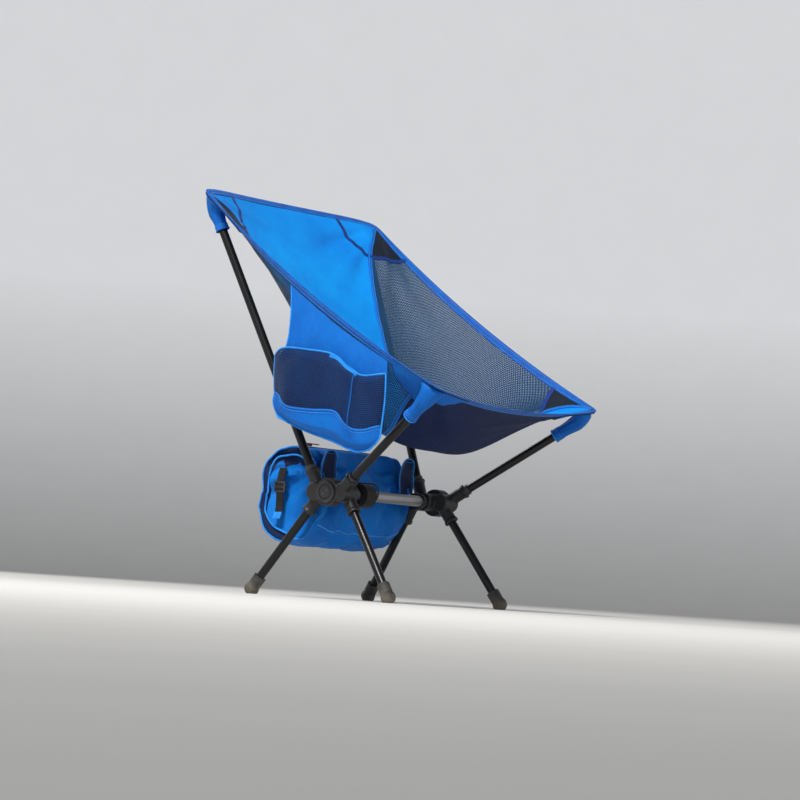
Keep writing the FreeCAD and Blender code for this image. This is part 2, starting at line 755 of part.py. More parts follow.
def bag_zip():
    middle_y = (size("bag_front_y") + size("bag_rear_y")) / 2
    top = size("bag_top_z")
    reach = size("zip_half_length")
    tape_low = Vector(-reach, middle_y - size("zip_tape_width") / 2, top)
    tape = primitive("Box", "zip_tape", Placement(tape_low, Rotation()),
                     Length="2 * " + cell("zip_half_length"), Width=cell("zip_tape_width"),
                     Height=cell("zip_tape_thickness"))
    teeth_low = Vector(-reach, middle_y - size("zip_teeth_width") / 2, top)
    teeth = primitive("Box", "zip_teeth", Placement(teeth_low, Rotation()),
                      Length="2 * " + cell("zip_half_length"), Width=cell("zip_teeth_width"),
                      Height="2 * " + cell("zip_tape_thickness"))
    keep("bag_zip_tape", fuse("bag_zip_tape", [tape, teeth]))

    # the slider rides over the teeth, clear of them, with its pull lying flat along the zip
    clear = size("slider_clearance")
    slider_low = Vector(-reach + size("slider_start"), middle_y - size("slider_width") / 2,
                        top + size("zip_tape_thickness") + clear)
    block = primitive("Box", "slider_block", Placement(slider_low, Rotation()),
                      Length=cell("slider_length"), Width=cell("slider_width"),
                      Height=cell("slider_height"))
    channel_low = Vector(-reach, middle_y - size("zip_teeth_width") / 2 - clear, top)
    channel = primitive("Box", "slider_channel", Placement(channel_low, Rotation()),
                        Length=f"2 * {cell('zip_half_length')}",
                        Width=f"{cell('zip_teeth_width')} + 2 * {cell('slider_clearance')}",
                        Height=f"2 * {cell('zip_tape_thickness')} + {cell('slider_clearance')}")
    pull_low = Vector(slider_low.x + size("slider_length") - size("pull_overlap"),
                      middle_y - size("pull_width") / 2,
                      slider_low.z + size("slider_height") - size("pull_thickness"))
    pull = primitive("Box", "slider_pull", Placement(pull_low, Rotation()),
                     Length=cell("pull_length"), Width=cell("pull_width"),
                     Height=cell("pull_thickness"))
    slider = fuse("slider_solid", [block, pull])
    keep("bag_zip_slider", cut("bag_zip_slider", slider, [channel]))


def bag_tabs():
    """Two rounded fabric tongues that tie the bag to the feet of the rear poles."""
    tongues = []
    radius = size("tab_width") / 2
    thick = size("tab_thickness")
    y = size("bag_front_y") - thick
    for side in SIDES.values():
        middle = side * size("tab_x")
        foot = size("tab_bottom_z")
        shoulder = size("tab_top_z") - radius
        left = Vector(middle - radius, y, foot)
        right = Vector(middle + radius, y, foot)
        left_up = Vector(middle - radius, y, shoulder)
        right_up = Vector(middle + radius, y, shoulder)
        crest = Vector(middle, y, size("tab_top_z"))
        arc = Part.Arc(left_up, crest, right_up).toShape()
        wire = Part.Wire([Part.makeLine(right, left), Part.makeLine(left, left_up), arc,
                          Part.makeLine(right_up, right)])
        tongues.append(Part.Face(wire).extrude(Vector(0, thick, 0)))
    shape_part("bag_tabs", Part.makeCompound(tongues))


def crossbar_strap():
    y = size("crossbar_y")
    z = size("crossbar_z")
    start = size("wrap_x") - size("wrap_width") / 2
    wrap = primitive("Cylinder", "wrap_roll", across(start, y, z),
                     Radius=half("wrap_diameter"), Height=cell("wrap_width"))
    link = primitive("Box", "wrap_link", Placement(Vector(start, y, z), Rotation()),
                     Length=cell("wrap_width"), Height=cell("tab_thickness"),
                     Width=f"{cell('bag_front_y')} - {cell('crossbar_y')}")
    hole = primitive("Cylinder", "wrap_hole", across(start, y, z),
                     Radius=half("crossbar_diameter"), Height=cell("wrap_width"))
    keep("crossbar_strap", cut("crossbar_strap", fuse("wrap_solid", [wrap, link]), [hole]))
    under = (size("crossbar_diameter") + size("cord_diameter")) / 2 + size("loop_clearance")
    ring_z = z - under + size("loop_radius")
    ring = primitive("Torus", "strap_cord_loop", across(size("loop_x"), y, ring_z),
                     Radius1=cell("loop_radius"), Radius2=half("cord_diameter"))
    keep("strap_cord_loop", ring)


def bag_webbing():
    """Webbing strap and its ladder buckle, flat on the bag's right end."""
    middle_y = size("webbing_y")
    middle_z = (size("bag_bottom_z") + size("bag_top_z")) / 2
    thick = size("webbing_thickness")
    wide = size("webbing_width")
    face_x = -size("bag_half_length")
    strap_low = Vector(face_x - thick, middle_y - wide / 2, middle_z - size("webbing_length") / 2)
    strap = primitive("Box", "webbing_strap", Placement(strap_low, Rotation()),
                      Length=cell("webbing_thickness"), Width=cell("webbing_width"),
                      Height=cell("webbing_length"))
    keep("bag_webbing", strap)
    bar = size("buckle_bar")
    frame_low = Vector(face_x - 3 * thick, middle_y - wide / 2 - bar, middle_z)
    frame = primitive("Box", "buckle_frame", Placement(frame_low, Rotation()),
                      Length="2 * " + cell("webbing_thickness"),
                      Width=f"{cell('webbing_width')} + 2 * {cell('buckle_bar')}",
                      Height=cell("buckle_height"))
    slots = []
    for number in range(2):
        slot_low = frame_low + Vector(0, bar, bar + (bar + size("buckle_slot")) * number)
        slots.append(primitive("Box", f"buckle_slot_{number}", Placement(slot_low, Rotation()),
                               Length="2 * " + cell("webbing_thickness"),
                               Width=cell("webbing_width"), Height=cell("buckle_slot")))
    keep("bag_buckle", cut("bag_buckle", frame, slots))


# ---- build, check and write ------------------------------------------------------


def build():
    crossbar()
    hub()
    for name, side in SIDES.items():
        for end in ENDS:
            upper_pole(end, name, side)
            leg(end, name, side)
            corner_pocket(end, name, side)
    pole_collars()
    upper_shock_cords()
    sling()
    side_pocket()
    storage_bag()
    bag_zip()
    bag_tabs()
    crossbar_strap()
    bag_webbing()
    document.recompute()


def check():
    for item in document.Objects:
        faults = [state for state in item.State if state in ("Invalid", "Error")]
        if faults:
            raise RuntimeError(f"{item.Name}: {faults}")
    for label, item in sub_parts:
        if item.Shape.isNull() or not item.Shape.isValid():
            raise RuntimeError(f"{label}: bad shape")
        if item.Shape.Volume <= 0 or not item.Shape.Solids:
            raise RuntimeError(f"{label}: no solid")


build()
check()
os.makedirs("parts", exist_ok=True)
for label, item in sub_parts:
    item.Shape.exportStep(f"parts/{label}.step")
print(len(sub_parts), "nodes written")
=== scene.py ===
import json
import math

import bmesh
import bpy
from mathutils import Matrix, Vector, noise
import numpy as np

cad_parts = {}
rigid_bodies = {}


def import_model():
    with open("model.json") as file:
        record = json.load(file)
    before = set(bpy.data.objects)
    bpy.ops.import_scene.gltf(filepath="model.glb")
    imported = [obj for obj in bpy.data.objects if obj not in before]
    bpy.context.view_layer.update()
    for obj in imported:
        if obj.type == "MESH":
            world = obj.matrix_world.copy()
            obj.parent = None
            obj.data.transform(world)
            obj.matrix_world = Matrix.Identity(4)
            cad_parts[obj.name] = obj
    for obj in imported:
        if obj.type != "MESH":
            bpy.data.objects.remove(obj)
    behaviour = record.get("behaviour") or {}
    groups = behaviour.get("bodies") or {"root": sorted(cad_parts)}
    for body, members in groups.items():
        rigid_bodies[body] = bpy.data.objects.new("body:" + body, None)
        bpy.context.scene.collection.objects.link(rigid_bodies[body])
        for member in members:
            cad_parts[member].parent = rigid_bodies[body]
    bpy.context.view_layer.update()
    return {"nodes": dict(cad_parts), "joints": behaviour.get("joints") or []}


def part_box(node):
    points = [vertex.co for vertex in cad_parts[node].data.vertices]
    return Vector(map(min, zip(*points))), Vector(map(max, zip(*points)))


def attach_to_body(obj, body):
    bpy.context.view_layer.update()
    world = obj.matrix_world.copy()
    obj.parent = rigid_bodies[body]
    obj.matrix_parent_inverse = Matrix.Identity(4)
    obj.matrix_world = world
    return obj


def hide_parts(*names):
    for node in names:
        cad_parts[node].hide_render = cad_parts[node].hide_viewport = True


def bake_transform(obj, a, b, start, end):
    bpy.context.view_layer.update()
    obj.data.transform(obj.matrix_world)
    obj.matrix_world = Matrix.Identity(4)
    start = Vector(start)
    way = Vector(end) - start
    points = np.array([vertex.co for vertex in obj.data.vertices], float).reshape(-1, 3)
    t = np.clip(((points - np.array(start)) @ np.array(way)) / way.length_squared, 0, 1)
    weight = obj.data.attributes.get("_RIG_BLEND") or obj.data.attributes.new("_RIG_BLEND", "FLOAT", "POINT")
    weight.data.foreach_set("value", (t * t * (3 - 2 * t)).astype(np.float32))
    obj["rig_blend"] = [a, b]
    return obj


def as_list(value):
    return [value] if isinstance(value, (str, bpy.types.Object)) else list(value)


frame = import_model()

# Ultralight backpacking chair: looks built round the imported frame. Metres, +Z up, the chair
# faces -Y. "left" is the sitter's left, +X, and "right" is -X.

SIDES = {"left": 1, "right": -1}
ENDS = ("rear", "front")
CORNERS = [(end, name, side) for end in ENDS for name, side in SIDES.items()]

# the sling's outline and section, the same formula as the CAD's
REAR_CORNER = Vector((0.238, 0.224, 0.648))
FRONT_CORNER = Vector((0.233, -0.260, 0.336))
HEM_BOW = 0.016
TOP_CROWN = 0.006  # how far the top hem stands above its corners
CENTRE_CONTROLS = [Vector((0, y, z)) for y, z in
                   ((0.260, 0.652), (0.159, 0.540), (-0.141, 0.085), (-0.051, 0.250), (-0.256, 0.318))]
SECTION_POWER_ENDS = 2.2
SECTION_POWER_MIDDLE = 3.4
WAIST_HALF_WIDTH = 0.075
WAIST_PLACE = 0.4
CLOTH = 0.0012
MESH = 0.0009
HEM_WIDTH = 0.012
CORNER_ROUNDING = 0.016
PATCH_RADIUS = 0.095
MOVING_RADIUS = {"rear": 0.160, "front": 0.125}  # how far round a corner the fabric moves with it
FIRM_REACH = 0.044  # how far from a corner the fabric moves as far as the corner does
LINING_DEPTH = 0.0022  # of a corner's lining, under the fabric
STITCH_PITCH = 0.0042
STITCH_LENGTH = 0.0031
STITCH_RADIUS = 0.00042

# axis of each upper pole on the left: where it starts in its hub, and where it ends
POLE_AXES = {
    "rear": (Vector((0.142, 0.019, 0.170)), Vector((0.208, 0.223, 0.6215))),
    "front": (Vector((0.1475, -0.025, 0.171)), Vector((0.2214, -0.240, 0.324))),
}
POCKET_DEPTH = {"rear": 0.038, "front": 0.058}  # of a pole's tip in its corner pocket
POCKET_CROWN_GAP = 0.006
CROSSBAR = Vector((0, -0.006, 0.170))
CAP_FACE = 0.160  # of a hub's outer face, from the middle plane

UP = Vector((0, 0, 1))
OUTWARD = Vector((-1, 0, 0))  # away from the sitter's right


# ---- small helpers ---------------------------------------------------------------


def lerp(first, second, share):
    return first + (second - first) * share


def ease(share):
    share = min(1, max(0, share))
    return share * share * (3 - 2 * share)


def hump(value, middle, reach):
    """1 at the middle, falling to 0 about two reaches away."""
    return math.exp(-((value - middle) / reach) ** 2)


def shares(count):
    """Even shares from 0 to 1, count steps apart."""
    return [step / count for step in range(count + 1)]


def flip(point, side):
    return Vector((point.x * side, point.y, point.z))


def round_x(centre, x, radius, turn):
    """Point on a circle that faces along X, beside a centre line."""
    return Vector((x, centre.y + radius * math.cos(turn), centre.z + radius * math.sin(turn)))


def halve(holds, low, high, steps=24):
    """The last value, going from low to high, for which holds(value) is true."""
    for _ in range(steps):
        middle = (low + high) / 2
        if holds(middle):
            low = middle
        else:
            high = middle
    return low


def ring_faces(rings, count, closed=False):
    """Quads between rings of count points, one ring after another."""
    faces = []
    for ring in range(rings if closed else rings - 1):
        here = ring * count
        after = (ring + 1) % rings * count
        for step in range(count):
            beside = (step + 1) % count
            faces.append((here + step, here + beside, after + beside, after + step))
    return faces


def end_faces(rings, count):
    return [tuple(reversed(range(count))), tuple(range((rings - 1) * count, rings * count))]


def place_object(name, data):
    piece = bpy.data.objects.new(name, data)
    bpy.context.scene.collection.objects.link(piece)
    return piece


def new_mesh(name, points, faces, materials, uvs=None, face_materials=None, crease=50):
    mesh = bpy.data.meshes.new(name)
    mesh.from_pydata([tuple(p) for p in points], [], faces)
    for material in materials:
        mesh.materials.append(material)
    if face_materials:
        mesh.polygons.foreach_set("material_index", face_materials)
    if uvs:
        layer = mesh.uv_layers.new(name="UVMap")
        for loop in mesh.loops:
            layer.data[loop.index].uv = uvs[loop.vertex_index]
    mesh.polygons.foreach_set("use_smooth", [True] * len(mesh.polygons))
    mesh.update()
    mesh.set_sharp_from_angle(angle=math.radians(crease))
    return place_object(name, mesh)


def tidy_normals(piece):
    """Turns every closed part of a mesh's faces outwards."""
    work = bmesh.new()
    work.from_mesh(piece.data)
    bmesh.ops.recalc_face_normals(work, faces=work.faces)
    work.to_mesh(piece.data)
    work.free()
    return piece


def apply_modifiers(piece):
    graph = bpy.context.evaluated_depsgraph_get()
    mesh = bpy.data.meshes.new_from_object(piece.evaluated_get(graph))
    mesh.name = piece.name
    piece.modifiers.clear()
    piece.data = mesh


class Builder:
    """Collects points and faces for one mesh."""

    def __init__(self):
        self.points = []
        self.faces = []
        self.uvs = []

    def add(self, points, faces, uvs=None):
        start = len(self.points)
        self.points += points
        self.faces += [tuple(start + i for i in face) for face in faces]
        self.uvs += uvs if uvs else [(p.x, p.y) for p in points]

    def make(self, name, material, crease=50):
        return tidy_normals(new_mesh(name, self.points, self.faces, [material], self.uvs, crease=crease))


def sweep(builder, frames, profile, closed_path=False, shape=None):
    """Sweeps a closed profile of (sideways, outwards) offsets along (point, side, out) frames."""
    count = len(profile)
    travelled = 0
    points = []
    uvs = []
    girth = [0]
    for first, second in zip(profile, profile[1:]):
        girth.append(girth[-1] + math.dist(first, second))
    for index, (point, side, out) in enumerate(frames):
        if index:
            travelled += (point - frames[index - 1][0]).length
        offsets = shape(profile, travelled) if shape else profile
        points += [point + side * a + out * b for a, b in offsets]
        uvs += [(travelled, g) for g in girth]
    faces = ring_faces(len(frames), count, closed_path)
    if not closed_path:
        faces += end_faces(len(frames), count)
    builder.add(points, faces, uvs)


def circle(radius, count):
    turns = [2 * math.pi * step / count for step in range(count)]
    return [(radius * math.cos(turn), radius * math.sin(turn)) for turn in turns]


def path_frames(points, closed=False):
    """Frames along a free line, kept from twisting."""
    frames = []
    count = len(points)
    side = None
    for index, point in enumerate(points):
        before = points[(index - 1) % count] if closed or index else point
        after = points[(index + 1) % count] if closed or index < count - 1 else point
        tangent = (after - before).normalized()
        if side is None:
            side = tangent.cross(UP)
            if side.length < 1e-4:
                side = tangent.cross(Vector((1, 0, 0)))
        side = (side - tangent * side.dot(tangent)).normalized()
        frames.append((point, side, side.cross(tangent).normalized()))
    return frames


def line_length(points):
    return sum((b - a).length for a, b in zip(points, points[1:]))


def resample(points, step):
    """Even points along a polyline, ends kept."""
    lengths = [0]
    for first, second in zip(points, points[1:]):
        lengths.append(lengths[-1] + (second - first).length)
    count = max(2, round(lengths[-1] / step))
    out = []
    place = 0
    for index in range(count + 1):
        wanted = lengths[-1] * index / count
        while place < len(points) - 2 and lengths[place + 1] < wanted:
            place += 1
        piece = lengths[place + 1] - lengths[place]
        share = (wanted - lengths[place]) / piece if piece else 0
        out.append(points[place].lerp(points[place + 1], min(1, share)))
    return out


def smooth_line(controls, count=60):
    """Catmull-Rom line through the control points."""
    ends = [controls[0] * 2 - controls[1]] + controls + [controls[-1] * 2 - controls[-2]]
    steps = max(2, count // (len(controls) - 1))
    out = []
    for index in range(1, len(ends) - 2):
        a, b, c, d = ends[index - 1:index + 3]
        for t in shares(steps)[:-1]:
            out.append(0.5 * (b * 2 + (c - a) * t + (a * 2 - b * 5 + c * 4 - d) * t**2
                              + (b * 3 - a - c * 3 + d) * t**3))
    out.append(controls[-1].copy())
    return out


STITCH_SIDES = 6
STITCH_RINGS = ((0.2, 0.9), (0.5, 1.15), (0.8, 0.9))  # share of its length, share of its radius


def stitch(builder, start, end, out, radius=STITCH_RADIUS):
    """One thread stitch, a slim rounded bead half sunk in the cloth."""
    way = (end - start).normalized()
    side = way.cross(out).normalized()
    points = []
    for share, size in STITCH_RINGS:
        middle = start.lerp(end, share)
        points += [middle + side * a + out * b for a, b in circle(radius * size, STITCH_SIDES)]
    faces = ring_faces(len(STITCH_RINGS), STITCH_SIDES)
    last = len(points) - STITCH_SIDES
    for corner in range(STITCH_SIDES):
        beside = (corner + 1) % STITCH_SIDES
        faces.append((len(points), beside, corner))
        faces.append((len(points) + 1, last + corner, last + beside))
    points += [start - out * radius, end - out * radius]
    builder.add(points, faces)


def stitch_row(builder, frames, sideways, outwards):
    """A row of stitches beside a line of frames."""
    line = [point + side * sideways + out * outwards for point, side, out in frames]
    up = 1 if outwards >= 0 else -1
    travelled = 0
    due = STITCH_PITCH / 2
    for index in range(len(line) - 1):
        step = (line[index + 1] - line[index]).length
        while step > 0 and due <= travelled + step:
            middle = line[index].lerp(line[index + 1], (due - travelled) / step)
            half = (line[index + 1] - line[index]) / step * STITCH_LENGTH / 2
            stitch(builder, middle - half, middle + half, frames[index][2] * up)
            due += STITCH_PITCH
        travelled += step


# ---- materials -------------------------------------------------------------------


def shade(colour, amount):
    return tuple(part * amount for part in colour)


class Shader:
    """Small wrapper that builds a node material round one Principled shader."""

    def __init__(self, name, **sockets):
        self.material = bpy.data.materials.new(name)
        self.material.use_nodes = True
        self.tree = self.material.node_tree
        self.surface = self.tree.nodes["Principled BSDF"]
        for socket, value in sockets.items():
            self.surface.inputs[socket.replace("_", " ")].default_value = value

    def node(self, kind, inputs=None, **settings):
        node = self.tree.nodes.new("ShaderNode" + kind)
        for setting, value in settings.items():
            setattr(node, setting, value)
        for socket, value in (inputs or {}).items():
            if isinstance(value, bpy.types.NodeSocket):
                self.tree.links.new(value, node.inputs[socket])
            else:
                node.inputs[socket].default_value = value
        return node

    def math(self, operation, first, second):
        return self.node("Math", {0: first, 1: second}, operation=operation).outputs[0]

    def times(self, first, second):
        return self.math("MULTIPLY", first, second)

    def plus(self, first, second):
        return self.math("ADD", first, second)

    def coordinates(self, kind="Object", scale=(1, 1, 1)):
        source = self.node("TexCoord").outputs[kind]
        return self.node("Mapping", {"Vector": source, "Scale": scale}).outputs[0]

    def noise(self, vector, scale, detail=3, roughness=0.55):
        inputs = {"Vector": vector, "Scale": scale, "Detail": detail, "Roughness": roughness}
        return self.node("TexNoise", inputs).outputs["Fac"]

    def bands(self, vector, pitch, direction):
        """Sine bands of a pitch in metres, 0 to 1."""
        return self.node("TexWave", {"Vector": vector, "Scale": math.pi / 10 / pitch},
                         bands_direction=direction).outputs["Fac"]

    def ramp(self, value, low, high, start=0.0, end=1.0):
        inputs = {"Value": value, "From Min": low, "From Max": high, "To Min": start, "To Max": end}
        return self.node("MapRange", inputs).outputs["Result"]

    def mix(self, share, first, second):
        node = self.node("Mix", data_type="RGBA")
        for socket, value in ((node.inputs[0], share), (node.inputs[6], first), (node.inputs[7], second)):
            if isinstance(value, bpy.types.NodeSocket):
                self.tree.links.new(value, socket)
            else:
                socket.default_value = (*value, 1) if isinstance(value, tuple) else value
        return node.outputs[2]

    def feed(self, socket, value):
        self.tree.links.new(value, self.surface.inputs[socket])

    def bump(self, height, strength, distance, normal=None):
        inputs = {"Height": height, "Strength": strength, "Distance": distance}
        if normal:
            inputs["Normal"] = normal
        return self.node("Bump", inputs).outputs[0]


YARN_PITCH = 0.0011
KNIT_PITCH = 0.0033


def woven(name, deep, bright, sheen=0.05, crinkle=0.5):
    """Plain-woven polyester: crossing yarns, slubs, slow dye variation and fine creases."""
    shader = Shader(name, Sheen_Weight=sheen, Sheen_Roughness=0.4, Specular_IOR_Level=0.22)
    shader.surface.inputs["Sheen Tint"].default_value = (*bright, 1)
    flat = shader.coordinates("UV")
    warp = shader.bands(flat, YARN_PITCH, "X")
    weft = shader.bands(flat, YARN_PITCH, "Y")
    over = shader.node("TexChecker", {"Vector": flat, "Scale": 1 / YARN_PITCH}).outputs["Fac"]
    yarns = shader.node("Mix", {0: over, 2: warp, 3: weft}, data_type="FLOAT").outputs[0]
    solid = shader.coordinates()
    dye = shader.noise(solid, 9, 4)
    creases = shader.noise(solid, 75, 5, 0.62)
    warp_slubs = shader.noise(shader.coordinates("UV", (1200, 45, 1)), 1, 2)
    weft_slubs = shader.noise(shader.coordinates("UV", (45, 1200, 1)), 1, 2)
    slubs = shader.times(shader.plus(warp_slubs, weft_slubs), 0.5)
    tone = shader.plus(shader.times(dye, 0.55), shader.times(slubs, 0.45))
    colour = shader.mix(shader.ramp(tone, 0.36, 0.64), deep, bright)
    # painted shade: the colour darkens towards a dark copy in the low spots between yarns
    colour = shader.mix(shader.ramp(yarns, 0.0, 1.0, 0.30, 0.0), colour, shade(deep, 0.35))
    shader.feed("Base Color", colour)
    shader.feed("Roughness", shader.ramp(slubs, 0.3, 0.7, 0.54, 0.72))
    soft = shader.bump(creases, crinkle, 0.0016)
    threads = shader.bump(slubs, 0.35, 0.0004, soft)
    shader.feed("Normal", shader.bump(yarns, 0.4, 0.00018, threads))
    return shader.material


def open_mesh(name, deep, bright, share=0.42, backing=None):
    """Knitted mesh: a grid of round-cornered holes between knitted yarns."""
    shader = Shader(name, Sheen_Weight=0.05, Specular_IOR_Level=0.2)
    flat = shader.coordinates("UV")
    across = shader.bands(flat, KNIT_PITCH, "X")
    down = shader.bands(flat, KNIT_PITCH, "Y")
    hole = shader.times(across, down)
    knit = shader.times(shader.bands(flat, KNIT_PITCH / 3, "X"),
                       shader.bands(flat, KNIT_PITCH / 4, "Y"))
    dye = shader.noise(shader.coordinates(), 14, 3)
    colour = shader.mix(shader.ramp(dye, 0.35, 0.65), deep, bright)
    # painted shade: darker in the low spots of the knit
    colour = shader.mix(shader.ramp(knit, 0.1, 0.7, 0.0, 0.55), shade(deep, 0.55), colour)
    if backing:
        colour = shader.mix(shader.ramp(hole, share - 0.06, share + 0.06), colour, backing)
    else:
        shader.feed("Alpha", shader.ramp(hole, share - 0.03, share + 0.03, 1.0, 0.0))
    shader.feed("Base Color", colour)
    shader.surface.inputs["Roughness"].default_value = 0.6
    relief = shader.math("SUBTRACT", knit, shader.times(hole, 1.4))
    shader.feed("Normal", shader.bump(relief, 0.5, 0.0004))
    return shader.material


def tape(name, deep, bright, rib=0.0016):
    """Ribbed grosgrain tape or webbing, ribs square to its length."""
    shader = Shader(name, Sheen_Weight=0.05, Specular_IOR_Level=0.25)
    flat = shader.coordinates("UV")
    ribs = shader.bands(flat, rib, "X")
    yarns = shader.bands(flat, rib * 0.8, "Y")
    wear = shader.noise(shader.coordinates(), 60, 4)
    colour = shader.mix(shader.ramp(wear, 0.35, 0.7), deep, bright)
    # painted shade: darker in the valleys between the ribs
    colour = shader.mix(shader.ramp(ribs, 0, 1, 0.35, 0.0), colour, shade(deep, 0.4))
    shader.feed("Base Color", colour)
    shader.feed("Roughness", shader.ramp(wear, 0.3, 0.7, 0.5, 0.65))
    height = shader.plus(ribs, shader.times(yarns, 0.4))
    shader.feed("Normal", shader.bump(height, 0.5, 0.0003))
    return shader.material


def anodised(name, colour, worn, metallic, roughness):
    """Drawn aluminium tube: fine lengthwise lines, handling marks and worn high spots."""
    shader = Shader(name, Metallic=metallic, Specular_IOR_Level=0.6)
    solid = shader.coordinates()
    lines = shader.noise(shader.coordinates("Object", (1, 1, 0.06)), 900, 2)
    marks = shader.noise(solid, 140, 5, 0.7)
    smudges = shader.noise(solid, 22, 3)
    scuffs = shader.ramp(marks, 0.66, 0.74, 0.0, 0.6)
    handled = shader.mix(smudges, colour, shade(colour, 1.35))
    shader.feed("Base Color", shader.mix(scuffs, handled, worn))
    uneven = shader.plus(lines, smudges)
    shader.feed("Roughness", shader.ramp(uneven, 0.6, 1.4, roughness - 0.07, roughness + 0.12))
    shader.feed("Normal", shader.bump(lines, 0.06, 0.0002, shader.bump(marks, 0.05, 0.0002)))
    return shader.material


def moulded(name, colour, roughness=0.48, dusty=0.0):
    """Moulded nylon or rubber: spark-eroded grain, scuffed and paler on its edges."""
    shader = Shader(name, Specular_IOR_Level=0.5)
    solid = shader.coordinates()
    fine = shader.noise(solid, 2200, 2)
    blotch = shader.noise(solid, 45, 4)
    edges = shader.ramp(shader.node("NewGeometry").outputs["Pointiness"], 0.51, 0.60, 0.0, 0.55)
    scuffs = shader.times(edges, shader.ramp(blotch, 0.35, 0.65))
    tone = shader.mix(shader.ramp(blotch, 0.35, 0.7), colour, shade(colour, 1.5))
    tone = shader.mix(scuffs, tone, (0.10, 0.10, 0.105))
    if dusty:
        height = shader.node("SeparateXYZ", {0: solid}).outputs["Z"]
        low_down = shader.ramp(height, 0.0, 0.03, dusty, 0.0)
        dust = shader.times(low_down, shader.ramp(blotch, 0.3, 0.6))
        tone = shader.mix(dust, tone, (0.30, 0.25, 0.19))
    shader.feed("Base Color", tone)
    shader.feed("Roughness", shader.ramp(blotch, 0.3, 0.7, roughness - 0.06, roughness + 0.12))
    shader.feed("Normal", shader.bump(fine, 0.18, 0.0002, shader.bump(blotch, 0.1, 0.0005)))
    return shader.material


def thread(name, colour):
    shader = Shader(name, Roughness=0.45, Sheen_Weight=0.2)
    strands = shader.noise(shader.coordinates(), 2600, 2)
    shader.feed("Base Color", shader.mix(strands, shade(colour, 0.7), colour))
    shader.feed("Normal", shader.bump(strands, 0.4, 0.0001))
    return shader.material


def braided(name, colour, fleck):
    """Shock cord or sleeve: a diagonal braid with flecks."""
    shader = Shader(name, Roughness=0.6, Sheen_Weight=0.3)
    slant = shader.node("Mapping", {"Vector": shader.coordinates("UV"), "Rotation": (0, 0, 0.8)}).outputs[0]
    across = shader.bands(slant, YARN_PITCH, "X")
    braid = shader.times(across, shader.bands(slant, YARN_PITCH, "Y"))
    spots = shader.ramp(shader.noise(slant, 900, 1), 0.62, 0.66)
    shader.feed("Base Color", shader.mix(spots, colour, fleck))
    shader.feed("Normal", shader.bump(braid, 0.6, 0.0003))
    return shader.material


materials = {
    "blue": woven("blue_polyester", (0.000, 0.200, 0.74), (0.000, 0.370, 0.98)),
    # the sling's underside: a navy coating, darkened further as painted shade on the side turned from the
    # lights
    "under": woven("navy_underside_and_painted_shade", (0.000, 0.008, 0.055), (0.000, 0.014, 0.090), sheen=0.0),
    "bag": woven("bag_polyester", (0.000, 0.120, 0.50), (0.000, 0.240, 0.80), crinkle=0.75),
    "navy": woven("navy_polyester", (0.001, 0.009, 0.045), (0.002, 0.018, 0.085)),
    # the corner lining's face seen through the mesh: navy, darkened almost to black as painted shade
    "lining": woven("corner_lining", (0.003, 0.010, 0.026), (0.005, 0.016, 0.040)),
    # darker blue cloth for the corner pockets, pocket sheets and seam welts; its depth of colour is partly
    # painted shade, set to the pockets in shade
    "hood": woven("corner_cloth", (0.000, 0.090, 0.42), (0.000, 0.190, 0.72)),
    "mesh": open_mesh("wing_mesh", (0.010, 0.085, 0.215), (0.022, 0.150, 0.350), share=0.38),
    # a darker copy of the wing mesh over the corner patches, with its holes filled by a near-black backing;
    # both are painted shade
    "corner_mesh_painted_shade": open_mesh("corner_mesh_painted_shade", (0.002, 0.012, 0.034), (0.004, 0.020, 0.055),
                             backing=(0.001, 0.005, 0.014)),
    "pouch_mesh": open_mesh("pouch_mesh", (0.000, 0.022, 0.115), (0.003, 0.080, 0.300), share=0.46),
    "hem": tape("hem_tape", (0.000, 0.070, 0.36), (0.000, 0.130, 0.56)),
    "piping": tape("light_piping", (0.006, 0.22, 0.78), (0.03, 0.36, 0.95), rib=0.001),
    "patch_seam": tape("patch_seam", (0.000, 0.022, 0.15), (0.000, 0.045, 0.28)),
    "webbing": tape("black_webbing", (0.006, 0.006, 0.007), (0.014, 0.014, 0.016), rib=0.0022),
    "zip_tape": tape("zip_tape", (0.002, 0.010, 0.06), (0.004, 0.02, 0.10), rib=0.0012),
    "pole": anodised("black_anodised", (0.010, 0.010, 0.011), (0.14, 0.14, 0.15), 0.55, 0.30),
    "bar": anodised("grey_aluminium", (0.30, 0.30, 0.31), (0.62, 0.62, 0.63), 0.95, 0.30),
    "ferrule": anodised("bare_aluminium", (0.62, 0.62, 0.64), (0.8, 0.8, 0.8), 1.0, 0.28),
    "plastic": moulded("black_nylon", (0.009, 0.009, 0.010)),
    "cap": moulded("cap_nylon", (0.013, 0.013, 0.014), roughness=0.40),
    "rubber": moulded("foot_rubber", (0.012, 0.012, 0.012), roughness=0.66, dusty=0.55),
    "thread": thread("light_thread", (0.04, 0.32, 0.86)),
    "dark_thread": thread("navy_thread", (0.003, 0.03, 0.22)),
    "zip": moulded("zip_coil", (0.004, 0.010, 0.045), roughness=0.38),
    "cord": braided("shock_cord", (0.008, 0.008, 0.009), (0.16, 0.16, 0.17)),
}


# ---- the sling's surface ---------------------------------------------------------


def side_hem_point(place):
    """Edge of the sling on the left, from the rear corner (0) to the front corner (1)."""
    chord = FRONT_CORNER - REAR_CORNER
    square = Vector((0, -chord.z, chord.y)).normalized()
    return REAR_CORNER + chord * place + square * (HEM_BOW * 4 * place * (1 - place))


def centre_point(place):
    total = Vector()
    for order, control in enumerate(CENTRE_CONTROLS):
        total += control * (math.comb(4, order) * place**order * (1 - place) ** (4 - order))
    return total


def bare_point(x, place):
    """Point of the taut sling, before creases, at a distance x from the middle plane."""
    edge = side_hem_point(place)
    middle = centre_point(place)
    power = lerp(SECTION_POWER_ENDS, SECTION_POWER_MIDDLE, math.sin(math.pi * place))
    share = min(abs(x), edge.x) / edge.x
    spot = middle + (edge - middle) * share**power
    crown = TOP_CROWN * (1 - share**8) * ease(1 - place / 0.12)
    return Vector((x, spot.y, spot.z + crown))


